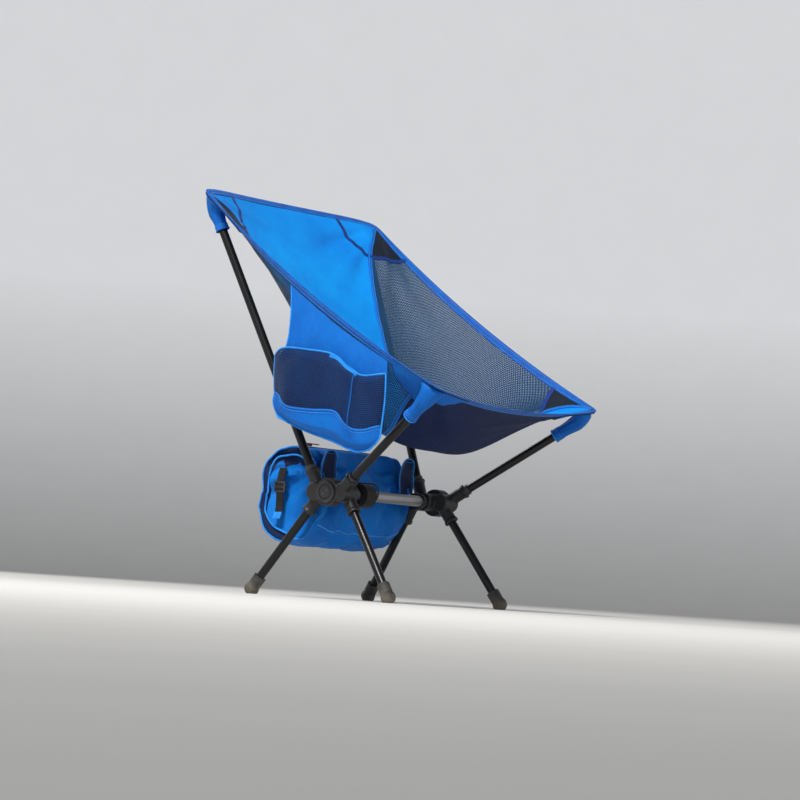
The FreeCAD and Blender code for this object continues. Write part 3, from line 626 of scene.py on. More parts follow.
def seam_x(place):
    """Half width of the solid panel: corner to waist to corner, as a hyperbola."""
    rear_part = place < WAIST_PLACE
    corner = REAR_CORNER.x if rear_part else FRONT_CORNER.x
    reach = WAIST_PLACE if rear_part else 1 - WAIST_PLACE
    rate = math.sqrt(corner**2 - WAIST_HALF_WIDTH**2) / reach
    return math.hypot(WAIST_HALF_WIDTH, rate * (place - WAIST_PLACE))


def sling_normal(x, place):
    """Unit normal on the sitter's side of the sling."""
    step = 0.0005
    nudge = 0.001
    inner = min(abs(x), side_hem_point(place).x - step)
    x = math.copysign(inner, x)
    before = max(place - nudge, 0)
    after = min(place + nudge, 1)
    along_x = bare_point(x + step, place) - bare_point(x - step, place)
    along_place = bare_point(x, after) - bare_point(x, before)
    return along_x.cross(along_place).normalized() * -1


def corner_point(end, side):
    return flip(REAR_CORNER if end == "rear" else FRONT_CORNER, side)


def from_end(end, place):
    """A place counted from either end of the sling."""
    return place if end == "rear" else 1 - place


def side_sign(x):
    return 1 if x > 0 else -1


def crease_height(x, place, point):
    """How far the fabric stands off the taut surface: folds drawn from the corners and slack ripples."""
    edge = side_hem_point(place).x
    room = min(edge - abs(x), place * 0.6, (1 - place) * 0.6)
    height = 0.0030 * noise.noise(point * 9)
    for end, _, side in CORNERS:
        away = point - corner_point(end, side)
        if away.length < 0.34:
            turn = math.atan2(abs(away.x), math.hypot(away.y, away.z))
            folds = math.sin(turn * 13 + (1.3 if side > 0 else 2.9)) + 0.5 * math.sin(turn * 29)
            height += 0.0019 * folds * hump(away.length, 0.13, 0.10)
    # a soft fold beside each side hem of the backrest, and ripples pulled in at the waist seams
    hem_fold = hump(edge - abs(x), 0.040, 0.016) * ease(place / 0.10) * ease((0.52 - place) / 0.2)
    height += 0.0060 * hem_fold * (0.75 + 0.5 * noise.noise(Vector((place * 7, x * 4, 1))))
    seam_gap = abs(x) - seam_x(place)
    ripples = math.sin(place * 95 + 3 * noise.noise(Vector((place * 9, side_sign(x), 0))))
    height += 0.0019 * ripples * hump(seam_gap, -0.022, 0.024) * hump(place, 0.36, 0.17)
    return height * ease(room / 0.030)


def fabric_point(x, place, offset=0.0):
    """Point of the creased sling, raised by offset on the sitter's side, with its normal."""
    point = bare_point(x, place)
    out = sling_normal(x, place)
    return point + out * (crease_height(x, place, point) + offset), out


# ---- cutting the sling's flat pattern --------------------------------------------

ROUNDING_SHARE = CORNER_ROUNDING / (FRONT_CORNER - REAR_CORNER).length


def corner_reach(end):
    def curve(x, place):
        return (bare_point(abs(x), place) - corner_point(end, 1)).length
    return curve


def rounding_curve(end):
    """Zero on the rounded corner of the fabric, negative in the offcut."""
    def curve(x, place):
        inward = max(0, side_hem_point(place).x - abs(x)) / CORNER_ROUNDING
        down = max(0, from_end(end, place)) / ROUNDING_SHARE
        return math.sqrt(inward) + math.sqrt(down) - 1
    return curve


def flat_pattern(columns=84, rows=160):
    """The whole sling in flat coordinates: co.y is x, co.z is the place along it."""
    work = bmesh.new()
    across = work.verts.layers.float.new("across")
    along = work.verts.layers.float.new("along")
    grid = []
    above = None
    for place in shares(rows):
        edge = side_hem_point(place).x
        xs = [edge * (2 * share - 1) for share in shares(columns)]
        points = [bare_point(x, place) for x in xs]
        line = [work.verts.new((0, x, place)) for x in xs]
        middle = columns // 2
        for column in range(middle + 1, columns + 1):
            line[column][across] = line[column - 1][across] + (points[column] - points[column - 1]).length
        for column in range(middle - 1, -1, -1):
            line[column][across] = line[column + 1][across] - (points[column] - points[column + 1]).length
        if above:
            for column in range(columns + 1):
                line[column][along] = grid[-1][column][along] + (points[column] - above[column]).length
        grid.append(line)
        above = points
    for upper, lower in zip(grid, grid[1:]):
        for column in range(columns):
            work.faces.new((upper[column], lower[column], lower[column + 1], upper[column + 1]))
    return work


def cut_along(work, curve):
    """Splits the pattern's faces where curve(x, place) is zero."""
    for vert in work.verts:
        vert.co.x = curve(vert.co.y, vert.co.z)
    bmesh.ops.bisect_plane(work, geom=work.verts[:] + work.edges[:] + work.faces[:], dist=1e-7,
                           plane_co=(0, 0, 0), plane_no=(1, 0, 0))


def middle_of(face):
    centre = face.calc_center_median()
    return centre.y, centre.z


def sheet_piece(name, work, faces, offset, thickness, skins):
    """A closed thin sheet over the given faces of the pattern."""
    across = work.verts.layers.float["across"]
    along = work.verts.layers.float["along"]
    verts = sorted({vert for face in faces for vert in face.verts}, key=lambda vert: vert.index)
    index = {vert: i for i, vert in enumerate(verts)}
    top = []
    bottom = []
    for vert in verts:
        point, out = fabric_point(vert.co.y, vert.co.z, offset)
        top.append(point + out * thickness / 2)
        bottom.append(point - out * thickness / 2)
    count = len(verts)
    upper = [tuple(index[vert] for vert in face.verts) for face in faces]
    lower = [tuple(reversed([i + count for i in face])) for face in upper]
    sides = {side: True for face in upper for side in zip(face, face[1:] + face[:1])}
    rims = [(b, a, a + count, b + count) for a, b in sides if (b, a) not in sides]
    uvs = [(vert[across], vert[along]) for vert in verts] * 2
    skin_index = [0] * len(upper) + [1] * len(lower) + [0] * len(rims)
    return new_mesh(name, top + bottom, upper + lower + rims, skins, uvs, skin_index, crease=35)


def corner_group(point):
    """The corner whose fabric a point moves with, or None."""
    for end, name, side in CORNERS:
        if (point - corner_point(end, side)).length < MOVING_RADIUS[end] - 1e-6:
            return end, name
    return None


BLEND_ENDS = {}


def set_blend_ends(work):
    """Where the fabric round each corner starts to follow it, measured on the cut's own edge."""
    for end in ENDS:
        reach = corner_reach(end)
        corner = corner_point(end, 1)
        rim = [bare_point(vert.co.y, vert.co.z) for vert in work.verts
               if vert.co.y > 0 and abs(reach(vert.co.y, vert.co.z) - MOVING_RADIUS[end]) < 2e-4]
        inward = sum(((point - corner).normalized() for point in rim), Vector()).normalized()
        start = min((point - corner).dot(inward) for point in rim)
        BLEND_ENDS[end] = (corner + inward * (start - 0.001), corner + inward * FIRM_REACH)


def attach(piece, group):
    """Rides the piece on the frame, or bends it between the frame and a corner."""
    if group is None:
        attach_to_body(piece, "frame")
        return
    end, name = group
    start, finish = (flip(point, SIDES[name]) for point in BLEND_ENDS[end])
    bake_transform(piece, "frame", f"{end}_corner_{name}", start, finish)


def measure_cuts(groups):
    """Goes over the faces of the panel and of each wing, corners included, and works out their points;
    nothing is kept or returned.
    """
    for wanted in ("panel", "wing_left", "wing_right"):
        faces = [face for (_, zone), found in groups.items() if zone == wanted for face in found]
        for face in faces:
            points = [bare_point(vert.co.y, vert.co.z) for vert in face.verts]


def outline_cut(*borders):
    """Cut size of a cloth whose outline is drawn in the pocket's plane."""
    outline = [point for border in borders for point in border]
    area = sum(a.y * b.z - b.y * a.z for a, b in zip(outline, outline[1:] + outline[:1]))
    ys = [point.y for point in outline]
    zs = [point.z for point in outline]
    return max(ys) - min(ys), max(zs) - min(zs), abs(area) / 2


def sling_cloth():
    work = flat_pattern()
    cut_along(work, lambda x, place: abs(x) - seam_x(place))
    for end in ENDS:
        cut_along(work, rounding_curve(end))
        cut_along(work, lambda x, place: corner_reach(end)(x, place) - MOVING_RADIUS[end])
        cut_along(work, lambda x, place: corner_reach(end)(x, place) - PATCH_RADIUS)
    work.verts.index_update()
    set_blend_ends(work)
    groups = {}
    linings = {}
    trims = [rounding_curve(end) for end in ENDS]
    for face in work.faces:
        x, place = middle_of(face)
        if any(curve(x, place) < 0 for curve in trims):
            continue
        point = bare_point(x, place)
        group = corner_group(point)
        zone = "panel" if abs(x) < seam_x(place) else "wing_left" if x > 0 else "wing_right"
        groups.setdefault((group, zone), []).append(face)
        if group and (point - corner_point(group[0], SIDES[group[1]])).length < PATCH_RADIUS:
            linings.setdefault(group, []).append(face)
    measure_cuts(groups)
    pieces = {}
    for (group, zone), faces in groups.items():
        solid = zone == "panel"
        # a solid panel's lower face takes the navy underside, partly real coating and partly painted shade
        skins = [materials["blue"], materials["under"]] if solid else [materials["mesh"]] * 2
        skins.append(materials["corner_mesh_painted_shade"])
        label = "sling_" + zone if group is None else f"sling_{group[0]}_{group[1]}_{zone.split('_')[0]}"
        piece = sheet_piece(label, work, faces, 0, CLOTH if solid else MESH, skins)
        # mesh faces over a corner's patch take the darker copy of the mesh, painted shade
        if group and not solid:
            corner = corner_point(group[0], SIDES[group[1]])
            for face in piece.data.polygons:
                if (face.center - corner).length < PATCH_RADIUS:
                    face.material_index = 2
        attach(piece, group)
        pieces[label] = piece
    for group, faces in linings.items():
        end, name = group
        # its upper face, seen through the mesh, is navy darkened as painted shade
        lining = sheet_piece(f"corner_lining_{end}_{name}", work, faces, -LINING_DEPTH, CLOTH,
                             [materials["lining"], materials["hood"]])
        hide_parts(f"{end}_patch_{name}")
        attach(lining, group)
    work.free()
    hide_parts("seat_panel")
    for name in SIDES:
        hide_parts(f"side_mesh_{name}")
    return pieces


sling_pieces = sling_cloth()


# ---- hems, seams and their stitching ---------------------------------------------


def surface_frames(path, offset=0.0):
    """(point, side, out) along a path of (x, place) on the creased sling."""
    spots = [fabric_point(x, place, offset) for x, place in path]
    frames = []
    for index, (point, out) in enumerate(spots):
        before = spots[max(index - 1, 0)][0]
        after = spots[min(index + 1, len(spots) - 1)][0]
        tangent = (after - before).normalized()
        side = out.cross(tangent).normalized()
        frames.append((point, side, tangent.cross(side).normalized()))
    return frames


def group_at(spot):
    return corner_group(bare_point(*spot))


def between(first, second, share):
    return tuple(lerp(a, b, share) for a, b in zip(first, second))


def split_by_corner(path):
    """Cuts a path where the fabric starts to move with a corner: (group, part) pairs."""
    parts = []
    current = [path[0]]
    group = group_at(path[0])
    for before, after in zip(path, path[1:]):
        following = group_at(after)
        if following != group:
            crossing = halve(lambda share: group_at(between(before, after, share)) == group, 0, 1)
            spot = between(before, after, crossing)
            current.append(spot)
            parts.append((group, current))
            current = [spot]
            group = following
        current.append(after)
    parts.append((group, current))
    return parts


def hem_path():
    """Once round the sling's edge, from the middle of the top towards the left."""
    def rounding(end):
        line = []
        for share in shares(14)[1:-1]:
            place = from_end(end, share**2 * ROUNDING_SHARE)
            line.append((side_hem_point(place).x - (1 - share) ** 2 * CORNER_ROUNDING, place))
        return line
    top = REAR_CORNER.x - CORNER_ROUNDING
    low = FRONT_CORNER.x - CORNER_ROUNDING
    places = [lerp(ROUNDING_SHARE, 1 - ROUNDING_SHARE, share) for share in shares(260)]
    left = [(top * share, 0.0) for share in shares(110)] + rounding("rear")
    left += [(side_hem_point(place).x, place) for place in places]
    left += rounding("front")[::-1] + [(low * (1 - share), 1.0) for share in shares(110)]
    return left + [(-x, place) for x, place in left[-2::-1]]


HEM_TOP = [(-0.0120, 0.0008), (-0.0117, 0.0012), (-0.0106, 0.0014), (-0.0094, 0.0011), (-0.0083, 0.0014),
           (-0.0058, 0.0017), (-0.0034, 0.0015), (-0.0024, 0.0012), (-0.0014, 0.0015), (-0.0002, 0.0013),
           (0.0007, 0.0007)]
HEM_PROFILE = HEM_TOP + [(0.0010, 0.0)] + [(a, -b) for a, b in reversed(HEM_TOP)]
HEM_ROWS = (-0.0024, -0.0094)
SHORTEST_HEM = 0.002


def puckered(profile, travelled):
    """Draws the tape in between stitches and lets its free edge wander a little."""
    draw = 1 + 0.16 * math.sin(2 * math.pi * travelled / STITCH_PITCH)
    wander = 0.0005 * noise.noise(Vector((travelled * 55, 0.3, 0)))
    return [(a + wander * min(1, -a / HEM_WIDTH) if a < 0 else a, b * draw) for a, b in profile]


def group_label(group):
    return "frame" if group is None else f"{group[0]}_{group[1]}"


def hem_label(group, middle):
    """Name of the hem tape with this point halfway along it."""
    if group:
        return f"corner_hem_tape_{group_label(group)}"
    if abs(middle.x) > 0.2:
        return "side_hem_tape_left" if middle.x > 0 else "side_hem_tape_right"
    return "top_hem_tape" if middle.z > 0.5 else "front_hem_tape"


def hems():
    pieces = {}
    for group, part in split_by_corner(hem_path()):
        spots = [bare_point(*spot) for spot in part]
        if line_length(spots) < SHORTEST_HEM:
            continue
        label = hem_label(group, spots[len(spots) // 2])
        pieces.setdefault(label, (group, []))[1].append(part)
    for label, (group, parts) in pieces.items():
        tape_work = Builder()
        threads = Builder()
        if len(parts) == 2:  # the path starts in the middle of the top hem
            parts = [parts[1] + parts[0][1:]]
        for part in parts:
            frames = surface_frames(part)
            sweep(tape_work, frames, HEM_PROFILE, shape=puckered)
            for row in HEM_ROWS:
                for face in (0.0013, -0.0013):
                    stitch_row(threads, frames, row, face)
        piece = tape_work.make(label, materials["hem"])
        attach(piece, group)
        sewing = threads.make(label + "_stitching", materials["thread"])
        attach(sewing, group)
        if label.startswith("side_hem"):
            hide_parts("side_hem_" + label.split("_")[-1])
        elif not group:
            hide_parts(label.replace("_tape", ""))


WELT = [(-0.0040, 0.0), (-0.0037, 0.0008), (-0.0022, 0.0011), (0.0, 0.0007), (0.0022, 0.0011),
        (0.0037, 0.0008), (0.0040, 0.0), (0.0, -0.0003)]


def welt(label, path, skin, thread_skin):
    """A flat felled seam: a raised strip with a stitch row near each edge, on both faces."""
    for count, (group, part) in enumerate(split_by_corner(path)):
        if len(part) < 3:
            continue
        strip = Builder()
        threads = Builder()
        for way in (1, -1):
            frames = surface_frames(part, 0.0004 * way)
            if way < 0:
                frames = [(point, -side, -out) for point, side, out in frames]
            sweep(strip, frames, WELT, shape=puckered_welt)
            for row in (-0.0023, 0.0023):
                stitch_row(threads, frames, row, 0.0011)
        name = f"{label}_{count}_{group_label(group)}"
        piece = strip.make(name, materials[skin])
        attach(piece, group)
        attach(threads.make(name + "_stitching", materials[thread_skin]), group)


def puckered_welt(profile, travelled):
    draw = 1 + 0.2 * math.sin(2 * math.pi * travelled / STITCH_PITCH)
    return [(a, b * draw) for a, b in profile]


def seams():
    for name, side in SIDES.items():
        places = [0.004 + 0.992 * share for share in shares(300)]
        path = [(side * min(seam_x(place), side_hem_point(place).x - 0.006), place) for place in places]
        path = [spot for spot in path if all(
            (bare_point(*spot) - corner_point(end, side)).length > 0.013 for end in ENDS)]
        welt(f"panel_seam_{name}", path, "hood", "thread")
    for end, name, side in CORNERS:
        welt(f"patch_seam_{end}_{name}", patch_arc(end, side), "patch_seam", "dark_thread")


def patch_spot(end, turn, away):
    """(x, place) at a turn round a corner, about away patch radii from it."""
    place = from_end(end, away * math.sin(turn) * 0.2)
    return side_hem_point(place).x - away * math.cos(turn) * PATCH_RADIUS, place


def patch_arc(end, side):
    """The quarter-round edge of a corner patch, from the cross hem to the side hem."""
    reach = corner_reach(end)
    path = []
    for share in shares(60):
        turn = math.pi / 2 * (0.045 + 0.91 * share)
        edge = halve(lambda away: reach(*patch_spot(end, turn, away)) < PATCH_RADIUS, 0, 1.6)
        x, place = patch_spot(end, turn, edge)
        path.append((side * x, place))
    return path


hems()
seams()


# ---- thin sheets and piping ------------------------------------------------------


def grid_normal(grid, row, column):
    across = grid[row][min(column + 1, len(grid[0]) - 1)] - grid[row][max(column - 1, 0)]
    down = grid[min(row + 1, len(grid) - 1)][column] - grid[max(row - 1, 0)][column]
    return across.cross(down).normalized()


def grid_sheet(builder, grid, thickness):
    """A closed thin sheet over a grid of points."""
    rows = len(grid)
    columns = len(grid[0])
    points = []
    uvs = []
    for way in (0.5, -0.5):
        down = [0.0] * columns
        for row in range(rows):
            travelled = 0.0
            for column in range(columns):
                if column:
                    travelled += (grid[row][column] - grid[row][column - 1]).length
                if row:
                    down[column] += (grid[row][column] - grid[row - 1][column]).length
                points.append(grid[row][column] + grid_normal(grid, row, column) * thickness * way)
                uvs.append((travelled, down[column]))
    half = rows * columns
    faces = []
    for row in range(rows - 1):
        for column in range(columns - 1):
            a = row * columns + column
            quad = (a, a + 1, a + 1 + columns, a + columns)
            faces.append(quad)
            faces.append(tuple(reversed([i + half for i in quad])))
    ring = list(range(columns))
    ring += [row * columns + columns - 1 for row in range(1, rows)]
    ring += [(rows - 1) * columns + column for column in range(columns - 2, -1, -1)]
    ring += [row * columns for row in range(rows - 2, 0, -1)]
    for a, b in zip(ring, ring[1:] + ring[:1]):
        faces.append((b, a, a + half, b + half))
    builder.add(points, faces, uvs)


def piping(builder, line, radius=0.0015, closed=False):
    sweep(builder, path_frames(line, closed), circle(radius, 10), closed)


def strap(builder, line, wide, thick):
    """A flat strap along a line, with rounded edges; wide is the way across it."""
    frames = []
    for index, point in enumerate(line):
        tangent = (line[min(index + 1, len(line) - 1)] - line[max(index - 1, 0)]).normalized()
        across = (wide - tangent * wide.dot(tangent)).normalized()
        frames.append((point, across, across.cross(tangent)))
    half = wide.length / 2
    low = [(-half + thick * 0.35, -thick / 2), (-half * 0.5, -thick * 0.47), (0, -thick * 0.5),
           (half * 0.5, -thick * 0.47), (half - thick * 0.35, -thick / 2)]
    high = [(a, -b) for a, b in reversed(low)]
    sweep(builder, frames, [(-half, 0)] + low + [(half, 0)] + high)


def build(shape, *sizes, **options):
    """A new Builder with one shape in it."""
    builder = Builder()
    shape(builder, *sizes, **options)
    return builder


def stitches(rows):
    """A new Builder with rows of stitches, each (frames, sideways, outwards)."""
    builder = Builder()
    for row in rows:
        stitch_row(builder, *row)
    return builder


def finish_piece(builder, name, skin, slot_name, node=None, body="frame", crease=50):
    """Makes the collected mesh a piece that rides on a body, and stands for a CAD node if one is named."""
    piece = builder.make(name, materials[skin], crease)
    if node:
        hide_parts(node)
    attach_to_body(piece, body)
    return piece


# ---- corner pockets that take the poles' tips ------------------------------------

HOOD_CENTRE = 0.023  # from both edges of the fabric to the middle of a pocket's seam
HOOD_REACH = {"rear": (0.0200, 0.0230), "front": (0.0200, 0.0200)}  # of that seam, across and down
HOOD_EDGE = 0.0022  # least distance from the seam to the fabric's edge
HOOD_GAP = 0.0036  # from the seam to the middle of the fabric
HOOD_CLOTH = 0.0011
HOOD_MOUTH = 0.0103
HOOD_BULGE = 0.0145
POLE_ROOM = 0.0088
HOOD_STEPS = 56
HOOD_ROWS = 34
HOOD_HEM_SHARE = 0.15
HOOD_STITCH_STEPS = 72


def hood_ring_on_cloth(end, angle):
    """Where the pocket is sewn to the fabric's underside, round the corner."""
    reach_in, reach_down = HOOD_REACH[end]
    inward = max(HOOD_EDGE, HOOD_CENTRE + reach_in * math.cos(angle))
    down = max(HOOD_EDGE, HOOD_CENTRE + reach_down * math.sin(angle))
    place = from_end(end, down / (FRONT_CORNER - REAR_CORNER).length)
    return fabric_point(side_hem_point(place).x - inward, place, -HOOD_GAP)[0]


def hood_frame(end):
    start, tip = POLE_AXES[end]
    along = (tip - start).normalized()
    inward = Vector((-1, 0, 0))
    inward = (inward - along * inward.dot(along)).normalized()
    away = (FRONT_CORNER - REAR_CORNER) * (1 if end == "rear" else -1)
    down = (away - along * away.dot(along) - inward * away.dot(inward)).normalized()
    return tip - along * POCKET_DEPTH[end], along, inward, down


def hood_point(end, share, angle, inset):
    mouth, along, inward, down = hood_frame(end)
    radial = inward * math.cos(angle) + down * math.sin(angle)
    depth = POCKET_DEPTH[end] + POCKET_CROWN_GAP
    radius = lerp(HOOD_MOUTH, HOOD_BULGE, ease((share - 0.2) / 0.6)) - inset
    if share < HOOD_HEM_SHARE:
        radius += 0.0006
    wrinkle = math.sin(angle * 6 + 3 * share) + 0.6 * math.sin(angle * 11 + 9 * share)
    radius += 0.0005 * wrinkle * hump(share, 0.5, 0.25)
    tube = mouth + along * depth * min(1, share * 1.25) + radial * radius
    on_cloth = hood_ring_on_cloth(end, angle)
    middle = hood_ring_on_cloth(end, 0).lerp(hood_ring_on_cloth(end, math.pi), 0.5)
    on_cloth = on_cloth + (middle - on_cloth).normalized() * inset
    point = tube.lerp(on_cloth, ease((share - 0.48) / 0.52))
    reach = (point - mouth).dot(along)
    off = point - mouth - along * reach
    room = POLE_ROOM - inset
    if reach < POCKET_DEPTH[end] + 0.001 and off.length < room:
        point = mouth + along * reach + off.normalized() * room
    return point


def hood(end, name, side):
    """One corner pocket, with the piping and the stitched hem of its mouth."""
    skin = Builder()
    points = []
    uvs = []
    for inset in (0, HOOD_CLOTH):
        for share in shares(HOOD_ROWS):
            for step in range(HOOD_STEPS):
                angle = 2 * math.pi * step / HOOD_STEPS
                points.append(flip(hood_point(end, share, angle, inset), side))
                uvs.append((angle * 0.012, share * 0.06))
    outside = ring_faces(HOOD_ROWS + 1, HOOD_STEPS)
    half = len(points) // 2
    faces = outside + [tuple(i + half for i in reversed(face)) for face in outside]
    for row in (0, HOOD_ROWS * HOOD_STEPS):
        for step in range(HOOD_STEPS):
            a = row + step
            b = row + (step + 1) % HOOD_STEPS
            faces.append((a, b, b + half, a + half))
    skin.add(points, faces, uvs)
    body = f"{end}_corner_{name}"
    finish_piece(skin, f"corner_hood_{end}_{name}", "hood", "corner_fabric", f"{end}_pocket_{name}", body)

    trim = build(piping, points[:HOOD_STEPS], 0.0011, closed=True)
    # painted shade: the rear pockets' mouth piping takes the darker hood cloth, and the front ones keep the
    # light piping
    trim_skin = "hood" if end == "rear" else "piping"
    finish_piece(trim, f"hood_mouth_piping_{end}_{name}", trim_skin, "blue_fabric", body=body)
    threads = Builder()
    along = flip(hood_frame(end)[1], side)
    for share in (HOOD_HEM_SHARE * 0.5, HOOD_HEM_SHARE * 0.85):
        turns = [2 * math.pi * step for step in shares(HOOD_STITCH_STEPS)]
        line = [flip(hood_point(end, share, turn, 0), side) for turn in turns]
        centre = sum(line[:-1], Vector()) / HOOD_STITCH_STEPS
        stitch_row(threads, [(point, along, (point - centre).normalized()) for point in line], 0, 0.0001)
    finish_piece(threads, f"hood_stitching_{end}_{name}", "thread", "corner_fabric", body=body)


for corner in CORNERS:
    hood(*corner)


# ---- side pocket on the sitter's right -------------------------------------------

POCKET_PLANE = -0.2312
POCKET_SWELL = 0.021
POCKET_CLOTH = 0.0010
NET_THICKNESS = 0.0007
NET_SHARE = 0.62  # of the pouch's height
DART_Y = -0.105
POCKET_COLUMNS = 70
POCKET_REACH = (0.040, -0.158)  # along Y, of the seam on the side hem


def yz_line(spots, count=40, start=None):
    """A smooth line through (y, z) control points in the pocket's plane, from a start outside it if given."""
    controls = [start] if start else []
    return smooth_line(controls + [Vector((POCKET_PLANE, y, z)) for y, z in spots], count)


def shifted(line, x=0.0, y=0.0, z=0.0):
    return [point + Vector((x, y, z)) for point in line]


def even(line, count):
    return resample(line, line_length(line) / count)[:count] + [line[-1]]


def span(rear, front, top, bottom, columns, rows):
    """Grid of points between four border lines; rear and front run downwards, the others forwards."""
    rear = even(rear, rows)
    front = even(front, rows)
    top = even(top, columns)
    bottom = even(bottom, columns)
    grid = []
    for row, v in enumerate(shares(rows)):
        line = []
        for column, u in enumerate(shares(columns)):
            sides = rear[row].lerp(front[row], u)
            ends = top[column].lerp(bottom[column], v)
            corners = top[0].lerp(top[-1], u).lerp(bottom[0].lerp(bottom[-1], u), v)
            line.append(sides + ends - corners)
        grid.append(line)
    return grid


def pouch_swell(point, u, height):
    """Pushes the pouch outwards: full in the middle and low down, gaping at its mouth."""
    full = max(0, math.sin(math.pi * u)) ** 0.55
    tall = 0.45 + 0.75 * math.sin(math.pi * min(1, 0.12 + height * 0.86)) if height < 1 else 0.45
    tall *= ease((1 - height) / 0.16)
    swell = POCKET_SWELL * full * tall
    swell += 0.0022 * noise.noise(point * 26) * full * ease((1 - height) / 0.1)
    folds = math.sin((point.y * 0.8 - point.z * 0.6) * 170) * hump(point.y, -0.13, 0.05)
    swell += 0.0012 * folds * full * ease((1 - height) / 0.2)
    swell -= 0.0045 * hump(point.y, DART_Y, 0.007) * ease((1 - height) / 0.2)
    return point + Vector((-swell, 0, 0))


def pocket_hem_point(share):
    """Point of the seam that holds the pocket, just inside the right side hem."""
    y = lerp(*POCKET_REACH, share)
    edge = side_hem_point(halve(lambda place: side_hem_point(place).y > y, 0, 1, 30))
    return Vector((-edge.x + 0.006, edge.y, edge.z - 0.004))


def side_pocket():
    hem_line = [pocket_hem_point(share) for share in shares(40)]
    mouth = yz_line([(0.060, 0.380), (0.039, 0.393), (-0.010, 0.391), (-0.066, 0.384), (-0.094, 0.366),
                     (-0.121, 0.352), (-0.161, 0.356)], 60)
    join = yz_line([(0.056, 0.322), (0.040, 0.318), (0.017, 0.300), (-0.035, 0.295), (-0.083, 0.293),
                    (-0.104, 0.271), (-0.130, 0.266), (-0.159, 0.274)], 60)
    floor_line = yz_line([(0.046, 0.283), (-0.006, 0.264), (-0.067, 0.247), (-0.110, 0.233),
                          (-0.138, 0.236)], 60)
    rear_low = yz_line([(0.056, 0.322), (0.057, 0.305), (0.046, 0.283)])
    front_low = yz_line([(-0.159, 0.274), (-0.156, 0.254), (-0.138, 0.236)])
    rear_mid = yz_line([(0.060, 0.380), (0.059, 0.350), (0.056, 0.322)])
    front_mid = yz_line([(-0.161, 0.356), (-0.162, 0.315), (-0.159, 0.274)])

    net = span(rear_mid, front_mid, mouth, join, POCKET_COLUMNS, 30)
    base = span(rear_low, front_low, join, floor_line, POCKET_COLUMNS, 22)
    for rows, start, stop in ((net, 0, NET_SHARE), (base, NET_SHARE, 1)):
        for row, line in enumerate(rows):
            height = lerp(start, stop, row / (len(rows) - 1))
            rows[row] = [pouch_swell(point, u, height) for point, u in zip(line, shares(POCKET_COLUMNS))]

    rear_back = yz_line([(0.036, 0.470), (0.035, 0.430), (0.040, 0.396), (0.056, 0.372), (0.056, 0.322),
                         (0.046, 0.283)], 60, hem_line[0])
    front_back = yz_line([(-0.162, 0.340), (-0.160, 0.280), (-0.138, 0.236)], 60, hem_line[-1])
    back = span(rear_back, front_back, hem_line, floor_line, POCKET_COLUMNS, POCKET_COLUMNS)
    for share, line in zip(shares(POCKET_COLUMNS), back):
        free = math.sin(math.pi * share)
        for column, point in enumerate(line):
            fold = hump((point.y + 0.02) + (point.z - 0.43) * 0.55, 0, 0.011)
            fold += 0.7 * hump((point.y - 0.005) + (point.z - 0.43) * 0.25, 0, 0.009)
            wave = 0.0035 * fold * hump(point.z, 0.44, 0.05) + 0.0018 * noise.noise(point * 21)
            line[column] = point + Vector((0.0016 - wave * free, 0, 0))

    outline_cut(hem_line, front_back, floor_line[::-1], rear_back[::-1])
    outline_cut(mouth, front_mid, join[::-1], rear_mid[::-1])
    outline_cut(join, front_low, floor_line[::-1], rear_low[::-1])
    sheets = []
    for grid, thickness, *looks in (
            (back, POCKET_CLOTH, "pocket_back_sheet", "hood", "blue_fabric", "side_pocket_back"),
            (net, NET_THICKNESS, "pocket_net", "pouch_mesh", "mesh_fabric", "side_pocket_mesh"),
            (base, POCKET_CLOTH, "pocket_cloth_base", "hood", "blue_fabric", "side_pocket_base")):
        sheets.append(finish_piece(build(grid_sheet, grid, thickness), *looks))

    trim = Builder()
    piping(trim, net[0], 0.0015)
    outline = [line[0] for line in net] + [line[0] for line in base[1:]] + base[-1][1:]
    outline += [line[-1] for line in reversed(base[:-1])] + [line[-1] for line in reversed(net[:-1])]
    piping(trim, outline, 0.0016)
    piping(trim, [line[0] for line in back if line[0].z > 0.385], 0.0013)
    trims = [finish_piece(trim, "pocket_edge_piping", "piping", "blue_fabric")]
    bands = build(strap, shifted(net[0][38:56], x=-0.0012, z=-0.0035), UP * 0.0085, 0.0016)
    trims.append(finish_piece(bands, "pocket_turned_binding", "piping", "blue_fabric"))
    join_line = shifted(net[-1], x=-0.0007)
    seam = build(strap, join_line, UP * 0.0034, 0.0012)
    dart = [min(line, key=lambda spot: abs(spot.y - DART_Y)) for line in net]
    piping(seam, shifted(dart, x=-0.0006), 0.0008)
    trims.append(finish_piece(seam, "pocket_seams", "hood", "blue_fabric"))
    threads = stitches(([(point, UP, OUTWARD) for point in line], 0, 0.0008)
                       for line in (join_line, shifted(net[-1], z=-0.0045)))
    trims.append(finish_piece(threads, "pocket_stitching", "thread", "blue_fabric"))
    return sheets, trims


(pocket_back, pocket_net, pocket_base), pocket_trims = side_pocket()


# ---- carry bag under the seat ----------------------------------------------------

BAG_MIDDLE = Vector((0, 0.093, 0.167))
BAG_HALF = Vector((0.120, 0.057, 0.077))
BAG_SQUARENESS = (2.9, 2.15)  # at its middle and at its ends
BAG_END_SWELL = 0.010  # how far the ends lean back
ZIP_Y = 0.093
ZIP_Z = 0.244
ZIP_REACH = 0.096
ZIP_TEETH = 110
BAG_TIES = (Vector((-0.108, 0.036, 0.205)), Vector((0.108, 0.036, 0.205)), Vector((-0.062, 0.036, 0.172)))
BAG_RIM = 0.93  # where an end's face meets its rounded edge, as a share of the bag's section
BAG_FACE = -0.120
BAG_TURNS = 150
BAG_END_RINGS = 20


